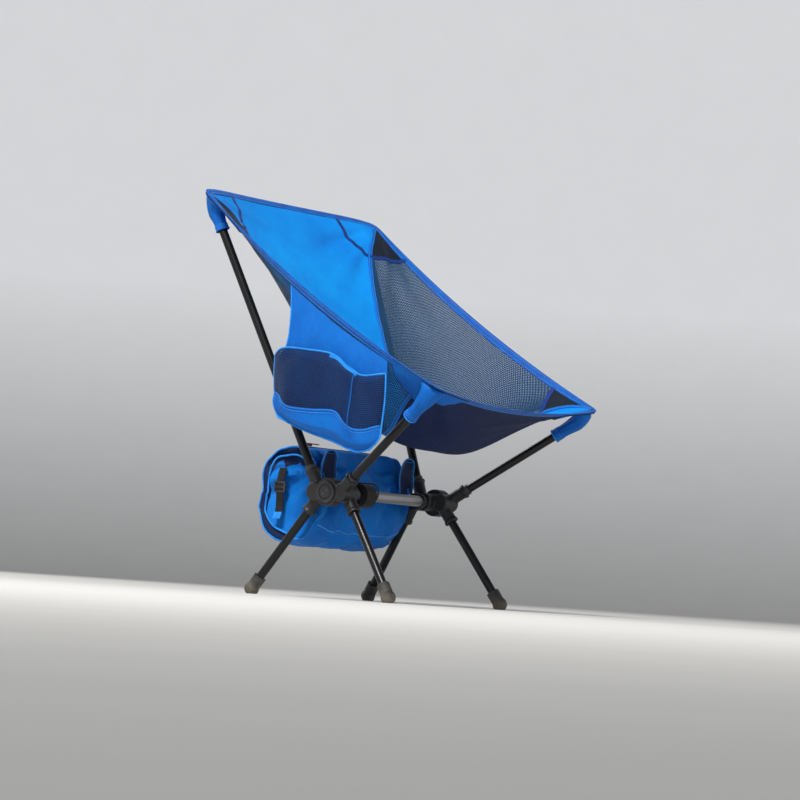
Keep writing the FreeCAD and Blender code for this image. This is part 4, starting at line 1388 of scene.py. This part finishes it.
def bag_ring(x, scale, turn):
    """Point of the bag's skin; turn 0 is the front, a quarter is the top."""
    c = math.cos(turn)
    s = math.sin(turn)
    lie = min(1, (x / BAG_HALF.x) ** 2)
    power = 2 / lerp(*BAG_SQUARENESS, lie**2)
    flat_y = math.copysign(abs(c) ** power, c) * BAG_HALF.y
    flat_z = math.copysign(abs(s) ** power, s) * BAG_HALF.z
    sag = 0.007 * (1 - lie) * ease(-s)
    swell = BAG_END_SWELL * lie**2 * ease(-c)
    return Vector((x, BAG_MIDDLE.y + (swell - flat_y) * scale, BAG_MIDDLE.z + (flat_z - sag) * scale))


def bag_crumple(point, scale, turn):
    """How far the slack cloth is pushed in or out, with the zip's strip kept straight."""
    away = math.hypot(point.y - ZIP_Y, point.z - ZIP_Z)
    free = ease((away - 0.017) / 0.022)
    push = 0.0055 * noise.noise(point * 14) + 0.0026 * (1 - 3 * abs(noise.noise(point * 31)))
    for tie in BAG_TIES:
        off = point - tie
        around = math.atan2(off.z, off.x)
        push += 0.0046 * math.sin(around * 8 + tie.x * 40) * hump(off.length, 0.052, 0.034)
        push -= 0.0030 * hump(off.length, 0, 0.014)
    # the front droops between the tongues, lower towards the sitter's left
    corner = hump(turn, 0.75, 0.42)
    push -= 0.024 * corner * hump(point.x, 0.045, 0.040)
    push -= 0.010 * corner * hump(point.x, -0.035, 0.022)
    push += 0.006 * hump(turn, -0.45, 0.4) * hump(point.x, -0.02, 0.07)
    drape = math.sin(point.x * 74 + 2.0 * math.sin(point.z * 26))
    push += 0.0034 * drape * hump(turn, 0.0, 0.75)
    push += 0.0030 * math.sin(point.z * 60 + point.x * 45) * hump(turn, 2.9, 0.9)
    return push * free * min(1, scale * 1.1)


def bag_point(x, scale, turn):
    point = bag_ring(x, scale, turn)
    out = Vector((0, point.y - BAG_MIDDLE.y, point.z - BAG_MIDDLE.z))
    if out.length > 1e-5:
        point += out.normalized() * bag_crumple(point, scale, (turn + math.pi) % (2 * math.pi) - math.pi)
    return point


def bag_end_depth(scale, turn, near):
    """How far the end face sinks in from its rim, with folds fanning out below the opening."""
    fold_start = Vector((0, 0.054, 0.205))
    spot = bag_ring(0, scale, turn)
    off = spot - fold_start
    around = math.atan2(off.z, off.y)
    depth = 0.012 * (1 - (scale / BAG_RIM) ** 3)
    fan = math.sin(around * 9 + 0.8 * math.sin(around * 4)) * hump(off.length, 0.060, 0.042)
    depth += 0.0062 * fan * ease((BAG_RIM - scale) / 0.12)
    if near:
        depth += 0.016 * bag_opening(spot)
    return depth


def bag_opening(spot):
    """1 in the dark gap under the rim of the bag's right end."""
    return hump(spot.y, 0.102, 0.034) * hump(spot.z, 0.224, 0.0075)


def bag_rings():
    """(end, x or None, scale) of each ring of the skin, from one end's middle to the other's."""
    face = [("near", None, (step + 0.4) / BAG_END_RINGS * BAG_RIM) for step in range(BAG_END_RINGS)]
    edge = []
    for share in (0.2, 0.5, 0.8):
        x = BAG_FACE + 0.0015 * share + 0.002 * share**3
        edge.append((None, x, lerp(BAG_RIM, 0.99, math.sqrt(share))))
    side = []
    for share in shares(76):
        x = lerp(BAG_FACE + 0.005, -BAG_FACE - 0.005, share)
        side.append((None, x, 1 - 0.05 * (abs(x) / BAG_HALF.x) ** 9))
    far_edge = [(None, -x, scale) for _, x, scale in reversed(edge)]
    far_face = [("far", None, scale) for _, _, scale in reversed(face)]
    return face + edge + side + far_edge + far_face


def dark_on_bag(row, last_row, turn):
    """True on the band inside each end's piping and in the gap of the near end, the faces where navy cloth is
    laid on as painted shade.
    """
    band = 17 <= row <= 21 or 17 <= last_row - row <= 21
    gap = 13 <= row <= 17 and 0.95 < turn < 2.2
    return band and 0.5 < turn < 4.7 or gap


def carry_bag():
    rings = bag_rings()
    points = []
    uvs = []
    for end, x, scale in rings:
        for step in range(BAG_TURNS):
            turn = 2 * math.pi * step / BAG_TURNS
            if end == "near":
                x = BAG_FACE + 0.0008 + bag_end_depth(scale, turn, True)
            elif end == "far":
                x = -BAG_FACE - 0.0008 - bag_end_depth(scale, turn, False)
            point = bag_point(x, scale, turn)
            points.append(point)
            uvs.append((point.y, point.z) if end else (x, turn * 0.062))
    sides = ring_faces(len(rings), BAG_TURNS)
    skin = Builder()
    skin.add(points, sides + end_faces(len(rings), BAG_TURNS), uvs)
    bag = skin.make("bag_skin", materials["bag"], crease=60)
    # the navy faces on the end bands and in the near end's gap are painted shade
    bag.data.materials.append(materials["navy"])
    for number, face in enumerate(bag.data.polygons[:len(sides)]):
        row, step = divmod(number, BAG_TURNS)
        if dark_on_bag(row, len(rings) - 2, 2 * math.pi * step / BAG_TURNS):
            face.material_index = 1
    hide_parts("storage_bag")
    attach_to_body(bag, "frame")

    trim = Builder()
    for side in SIDES.values():
        for scale, start, stop, x in ((0.985, 0.35, 5.2, 0.1178), (0.81, 0.5, 4.7, 0.1188)):
            arc = [bag_point(side * x, scale, lerp(start, stop, share)) for share in shares(70)]
            piping(trim, shifted(arc, x=side * 0.001), 0.0016)
    piping(trim, [bag_point(lerp(-0.112, 0.112, share), 1.008, -0.62) for share in shares(90)], 0.0018)
    finish_piece(trim, "bag_piping", "piping", "bag_fabric")
    rows = []
    for turn in (-0.56, -0.70):
        line = [bag_point(lerp(-0.110, 0.110, share), 1.004, turn) for share in shares(90)]
        rows.append(([(point, UP, Vector((0, -0.9, -0.4))) for point in line], 0, 0.0002))
    finish_piece(stitches(rows), "bag_stitching", "thread", "bag_fabric")


carry_bag()


def zip_fastener():
    """Two tapes meeting at a coil of teeth along the top of the bag."""
    tapes = Builder()
    threads = Builder()
    for way in (1, -1):
        line = [Vector((x * ZIP_REACH, ZIP_Y + way * 0.0068, ZIP_Z + 0.0002 * (1 - abs(x))))
                for x in (2 * share - 1 for share in shares(60))]
        strap(tapes, line, Vector((0, 0.0122, 0)), 0.0011)
        stitch_row(threads, [(point, Vector((0, 1, 0)), UP) for point in line], way * 0.0042, 0.0006)
    finish_piece(tapes, "zip_tapes", "zip_tape", "navy_fabric", "bag_zip_tape")
    finish_piece(threads, "zip_stitching", "thread", "navy_fabric")
    teeth = Builder()
    for number, share in enumerate(shares(ZIP_TEETH - 1)):
        x = lerp(-ZIP_REACH + 0.002, ZIP_REACH - 0.002, share)
        way = 1 if number % 2 else -1
        start = Vector((x, ZIP_Y - way * 0.0004, ZIP_Z + 0.0008))
        end = Vector((x + 0.0006, ZIP_Y + way * 0.0020, ZIP_Z + 0.0008))
        stitch(teeth, start, end, UP, 0.0006)
    finish_piece(teeth, "zip_teeth", "zip", "navy_fabric")


zip_fastener()


# ---- the bag's ties and straps ---------------------------------------------------

TONGUE_X = 0.108
TONGUE_HALF = 0.019
TONGUE_LOW = 0.182
TONGUE_HIGH = 0.240
TONGUE_Y = 0.0335
TONGUE_STRAIGHT = 0.66  # of its length, below its round end
ROLL_START = -0.077
ROLL_END = -0.047
ROLL_TURNS = 5
LOOP_RADIUS = 0.016
LOOP_CENTRE = Vector((-0.040, CROSSBAR.y, 0.1752))
CORD_DIAMETER = 0.0028
WEBBING_Y = 0.115
WEBBING_WIDTH = 0.016


def tongue_point(side, u, v):
    rise = (v - TONGUE_STRAIGHT) / (1 - TONGUE_STRAIGHT)
    narrow = math.sqrt(max(0, 1 - rise**2)) if rise > 0 else 1 - 0.05 * (TONGUE_STRAIGHT - v)
    half = TONGUE_HALF * narrow
    curl = 0.0028 * u * u + 0.0035 * ease((v - 0.55) / 0.45)
    return Vector((side * TONGUE_X + u * half, TONGUE_Y - curl + 0.0009 * math.sin(v * 9 + u * 2),
                   lerp(TONGUE_LOW, TONGUE_HIGH, v)))


def tongues():
    pieces = []
    for name, side in SIDES.items():
        grid = [[tongue_point(side, 2 * u - 1, min(0.995, v)) for u in shares(16)] for v in shares(28)]
        cloth = build(grid_sheet, grid, 0.0016)
        tongue = finish_piece(cloth, f"bag_tongue_{name}", "navy", "navy_fabric")
        edge = build(piping, [row[0] for row in grid] + [row[-1] for row in reversed(grid)], 0.0013)
        trim = finish_piece(edge, f"bag_tongue_piping_{name}", "piping", "blue_fabric")
        inner = [tongue_point(side, -0.82, v * 0.9) for v in shares(40)]
        inner += [tongue_point(side, 0.82, v * 0.9) for v in reversed(shares(40))]
        threads = build(stitch_row, [(point, Vector((1, 0, 0)), Vector((0, -1, 0))) for point in inner],
                        0, 0.0009)
        sewing = finish_piece(threads, f"bag_tongue_stitching_{name}", "thread", "blue_fabric")
        pieces.append((tongue, [trim, sewing]))
    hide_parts("bag_tabs")
    return pieces


def crossbar_roll():
    """The strap wound round the crossbar and led back to the bag."""
    line = []
    steps = 44 * ROLL_TURNS
    middle = (ROLL_START + ROLL_END) / 2
    for step in range(steps + 1):
        turn = math.pi / 2 + 2 * math.pi * ROLL_TURNS * step / steps
        radius = 0.0104 + 0.0096 * step / steps + 0.0003 * noise.noise(Vector((step * 0.09, 0, 0)))
        line.append(round_x(CROSSBAR, middle + 0.0012 * math.sin(step * 0.045), radius, turn))
    line += smooth_line([line[-1], Vector((middle, 0.012, 0.1845)), Vector((middle, 0.034, 0.176)),
                         Vector((middle, 0.0375, 0.160))], 30)[1:]
    work = build(strap, line, Vector((ROLL_END - ROLL_START - 0.003, 0, 0)), 0.0015)
    finish_piece(work, "rolled_strap", "webbing", "webbing", "crossbar_strap")


def loop_cord():
    """The free end of shock cord that comes out of the roll and loops the crossbar."""
    spots = [Vector((ROLL_END - 0.001, 0.0085, 0.1775))]
    for share in shares(16):
        turn = lerp(0.35, 0.05 + 2 * math.pi, share)
        spots.append(round_x(LOOP_CENTRE, LOOP_CENTRE.x, LOOP_RADIUS, turn))
    spots.append(Vector((ROLL_END - 0.001, 0.0100, 0.1725)))
    curve = bpy.data.curves.new("loop_cord", "CURVE")
    curve.dimensions = "3D"
    spline = curve.splines.new("NURBS")
    spline.points.add(len(spots) - 1)
    for point, spot in zip(spline.points, spots):
        point.co = (*spot, 1)
    spline.order_u = 3
    spline.use_endpoint_u = True
    curve.bevel_depth = CORD_DIAMETER / 2
    curve.bevel_resolution = 5
    curve.resolution_u = 10
    curve.use_fill_caps = True
    curve.materials.append(materials["cord"])
    piece = place_object("loop_cord", curve)
    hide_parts("strap_cord_loop")
    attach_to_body(piece, "frame")


def end_webbing():
    """Black webbing down the bag's right end, threaded through its ladder buckle."""
    face = BAG_FACE - 0.0016
    spots = [(face + 0.004, 0.207), (face, 0.196), (face - 0.0022, 0.186), (face - 0.0030, 0.176),
             (face - 0.0022, 0.166), (face - 0.0006, 0.150), (face - 0.0025, 0.135), (face - 0.0070, 0.124)]
    line = smooth_line([Vector((x, WEBBING_Y, z)) for x, z in spots], 60)
    work = build(strap, line, Vector((0, WEBBING_WIDTH - 0.0006, 0)), 0.0016)
    finish_piece(work, "end_webbing", "webbing", "webbing", "bag_webbing")
    fold = build(strap, shifted(line[-9:], x=-0.0012), Vector((0, WEBBING_WIDTH - 0.0002, 0)), 0.0012)
    finish_piece(fold, "end_webbing_tail", "piping", "webbing")


bag_tongues = tongues()
crossbar_roll()
loop_cord()
end_webbing()


# ---- the soft pieces gathered with their trims -----------------------------------


def declare(piece, with_pieces=()):
    """Makes a list of the pieces that go with a cloth, and does nothing more."""
    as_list(with_pieces)


def soft_goods():
    panel_trims = [piece for piece in bpy.data.objects if piece.name.startswith(
        ("top_hem", "front_hem", "corner_hem", "panel_seam", "patch_seam", "corner_lining"))]
    panel_trims += [piece for label, piece in sling_pieces.items()
                    if label.count("_") > 2 or "wing" not in label]
    panel = sling_pieces["sling_panel"]
    declare(panel, [piece for piece in panel_trims if piece != panel])
    for name in SIDES:
        wing = sling_pieces[f"sling_wing_{name}"]
        trims = [bpy.data.objects[f"side_hem_tape_{name}{part}"] for part in ("", "_stitching")]
        declare(wing, trims)
    declare(pocket_back)
    declare(pocket_net, pocket_trims)
    declare(pocket_base)
    for tongue, trims in bag_tongues:
        declare(tongue, trims)


soft_goods()


# ---- carried-over CAD nodes ------------------------------------------------------


def paint(node, skin):
    """Gives a CAD node its material, with its sharp edges rounded."""
    piece = frame["nodes"][node]
    piece.data.materials.clear()
    piece.data.materials.append(materials[skin])
    edges = piece.modifiers.new("rounded_edges", "BEVEL")
    edges.width = 0.0004
    edges.segments = 2
    edges.limit_method = "ANGLE"
    edges.angle_limit = math.radians(40)


LEG_CORD_ROOT = 0.002  # how far a leg's cord is sunk in its hub
LEG_CORD_STEPS = 40


def leg_cords():
    """The shock cord in each leg, held in the hub, so it stretches when the leg is pulled."""
    for joint in frame["joints"]:
        leg = joint["child"]
        node = f"{leg}_shock_cord"
        if node not in frame["nodes"]:
            continue
        axis = Vector(joint["axis"]).normalized()
        low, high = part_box(node)
        across = CORD_DIAMETER * math.sqrt(1 - axis.z * axis.z)
        reach = axis * ((high.z - low.z - across) / abs(axis.z) / 2)
        tied = (low + high) / 2 - reach - axis * LEG_CORD_ROOT
        end = (low + high) / 2 + reach
        line = [tied.lerp(end, share) for share in shares(LEG_CORD_STEPS)]
        piece = build(piping, line, CORD_DIAMETER / 2).make(f"{leg}_cord", materials["cord"])
        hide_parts(node)
        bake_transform(piece, "frame", leg, tied, end)


def hard_parts():
    for node in frame["nodes"]:
        if node.endswith("_shock_cord"):
            continue  # leg_cords() makes these
        if "pole_tip" in node or "collar" in node or node == "bag_buckle":
            paint(node, "plastic")
        elif node.endswith("_ferrule"):
            paint(node, "ferrule")
        elif "foot" in node:
            paint(node, "rubber")
        elif "shock_cord" in node:
            paint(node, "cord")
        elif "pole" in node or "leg" in node:
            paint(node, "pole")
    paint("bag_zip_slider", "zip")
    paint("crossbar", "bar")


HUB_VOXEL = 0.0011
CAP_TURNS = 72
CAP_OUTLINE = [  # (radius, height) from the middle of the cap's face to the middle of its back
    (0.0001, 0.0030), (0.0040, 0.0032), (0.0050, 0.0038), (0.0060, 0.0032), (0.0104, 0.0033),
    (0.0110, 0.0022), (0.0120, 0.0022), (0.0126, 0.0034), (0.0152, 0.0040), (0.0168, 0.0036),
    (0.0179, 0.0022), (0.0180, 0.0004), (0.0176, 0.0002), (0.0001, 0.0002)]


def hubs():
    """The moulded hubs with the soft radii of a moulding, and their ringed caps."""
    for name, side in SIDES.items():
        node = frame["nodes"][f"hub_{name}"]
        hub = place_object(f"moulded_hub_{name}", node.data.copy())
        remesh = hub.modifiers.new("even_faces", "REMESH")
        remesh.mode = "VOXEL"
        remesh.voxel_size = HUB_VOXEL
        remesh.use_smooth_shade = True
        soften = hub.modifiers.new("moulded_radii", "SMOOTH")
        soften.iterations = 6
        soften.factor = 0.5
        apply_modifiers(hub)
        hub.data.materials.clear()
        hub.data.materials.append(materials["plastic"])
        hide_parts(f"hub_{name}")
        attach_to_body(hub, "frame")

        points = []
        for radius, height in CAP_OUTLINE:
            for step in range(CAP_TURNS):
                points.append(round_x(CROSSBAR, side * (CAP_FACE + height), radius,
                                      2 * math.pi * step / CAP_TURNS))
        cap = Builder()
        cap.add(points, ring_faces(len(CAP_OUTLINE), CAP_TURNS) + end_faces(len(CAP_OUTLINE), CAP_TURNS))
        finish_piece(cap, f"ringed_cap_{name}", "cap", "cap_plastic", f"hub_cap_{name}", crease=35)


hard_parts()
leg_cords()
hubs()


# ---- floor, backdrop, lights and camera ------------------------------------------


BOWL_RADIUS = 9.0
BOWL_BEND = 3.0
BOWL_HEIGHT = 5.0
BOWL_TURNS = 96
BACKDROP_GLOW = 0.42


def studio():
    """A pale floor that curves up all round, so every side has the same soft backdrop."""
    floor = Shader("pale_floor", Roughness=0.9, Specular_IOR_Level=0.1)
    speckle = floor.noise(floor.coordinates(), 6, 5)
    floor.feed("Base Color", floor.mix(speckle, (0.52, 0.515, 0.50), (0.57, 0.565, 0.55)))
    height = floor.node("SeparateXYZ", {0: floor.coordinates()}).outputs["Z"]
    floor.surface.inputs["Emission Color"].default_value = (0.92, 0.95, 1.0, 1)
    floor.feed("Emission Strength", floor.ramp(height, 0.0, 1.2, 0.0, BACKDROP_GLOW))
    profile = [(3.0, 0.0), (5.0, 0.0)]
    for share in shares(20):
        bend = math.pi / 2 * share
        profile.append((BOWL_RADIUS - BOWL_BEND * (1 - math.sin(bend)), BOWL_BEND * (1 - math.cos(bend))))
    profile.append((BOWL_RADIUS, BOWL_HEIGHT))
    points = [Vector((a, b, height)) for radius, height in profile for a, b in circle(radius, BOWL_TURNS)]
    points.append(Vector())
    faces = [(step, (step + 1) % BOWL_TURNS, len(points) - 1) for step in range(BOWL_TURNS)]
    faces += [tuple(reversed(face)) for face in ring_faces(len(profile), BOWL_TURNS)]
    new_mesh("studio_floor", points, faces, [floor.material], crease=80)


def area_light(name, position, target, size, power, colour=(1, 1, 1)):
    lamp = bpy.data.lights.new(name, "AREA")
    lamp.shape = "DISK"
    lamp.size = size
    lamp.energy = power
    lamp.color = colour
    holder = place_object(name, lamp)
    holder.location = position
    holder.rotation_mode = "QUATERNION"
    holder.rotation_quaternion = (Vector(target) - Vector(position)).to_track_quat("-Z", "Y")


CAMERA_AZIMUTH = -54.08
CAMERA_ELEVATION = -3.1
CAMERA_ROLL = 3.79
CAMERA_DISTANCE = 5.733
CAMERA_TARGET = Vector((0.00657, -0.01894, 0.33131))
LENS = 157.7


def camera():
    azimuth = math.radians(CAMERA_AZIMUTH)
    elevation = math.radians(CAMERA_ELEVATION)
    roll = math.radians(CAMERA_ROLL)
    back = Vector((math.sin(azimuth) * math.cos(elevation), -math.cos(azimuth) * math.cos(elevation),
                   math.sin(elevation)))
    right = Vector((math.cos(azimuth), math.sin(azimuth), 0))
    up = back.cross(right)
    rolled_right = right * math.cos(roll) + up * math.sin(roll)
    rolled_up = up * math.cos(roll) - right * math.sin(roll)
    lens = bpy.data.cameras.new("camera")
    lens.lens = LENS
    lens.sensor_width = 36
    lens.clip_start = 0.1
    lens.clip_end = 60
    holder = place_object("camera", lens)
    spot = CAMERA_TARGET + back * CAMERA_DISTANCE
    axes = Matrix((rolled_right, rolled_up, back)).transposed().to_4x4()
    holder.matrix_world = Matrix.Translation(spot) @ axes
    bpy.context.scene.camera = holder


def lights():
    target = (0, 0, 0.35)
    area_light("key", (-3.2, -0.6, 3.6), target, 1.6, 250, (1.0, 0.98, 0.95))
    area_light("fill", (1.6, -4.2, 1.8), target, 3.0, 20, (0.94, 0.97, 1.0))
    area_light("rim", (0.8, 3.4, 2.6), target, 1.8, 70)
    world = bpy.data.worlds.new("studio_air")
    world.use_nodes = True
    air = world.node_tree.nodes["Background"]
    air.inputs["Color"].default_value = (0.80, 0.84, 0.90, 1)
    air.inputs["Strength"].default_value = 0.22
    bpy.context.scene.world = world
    bpy.context.scene.view_settings.view_transform = "Standard"


camera()
studio()
lights()
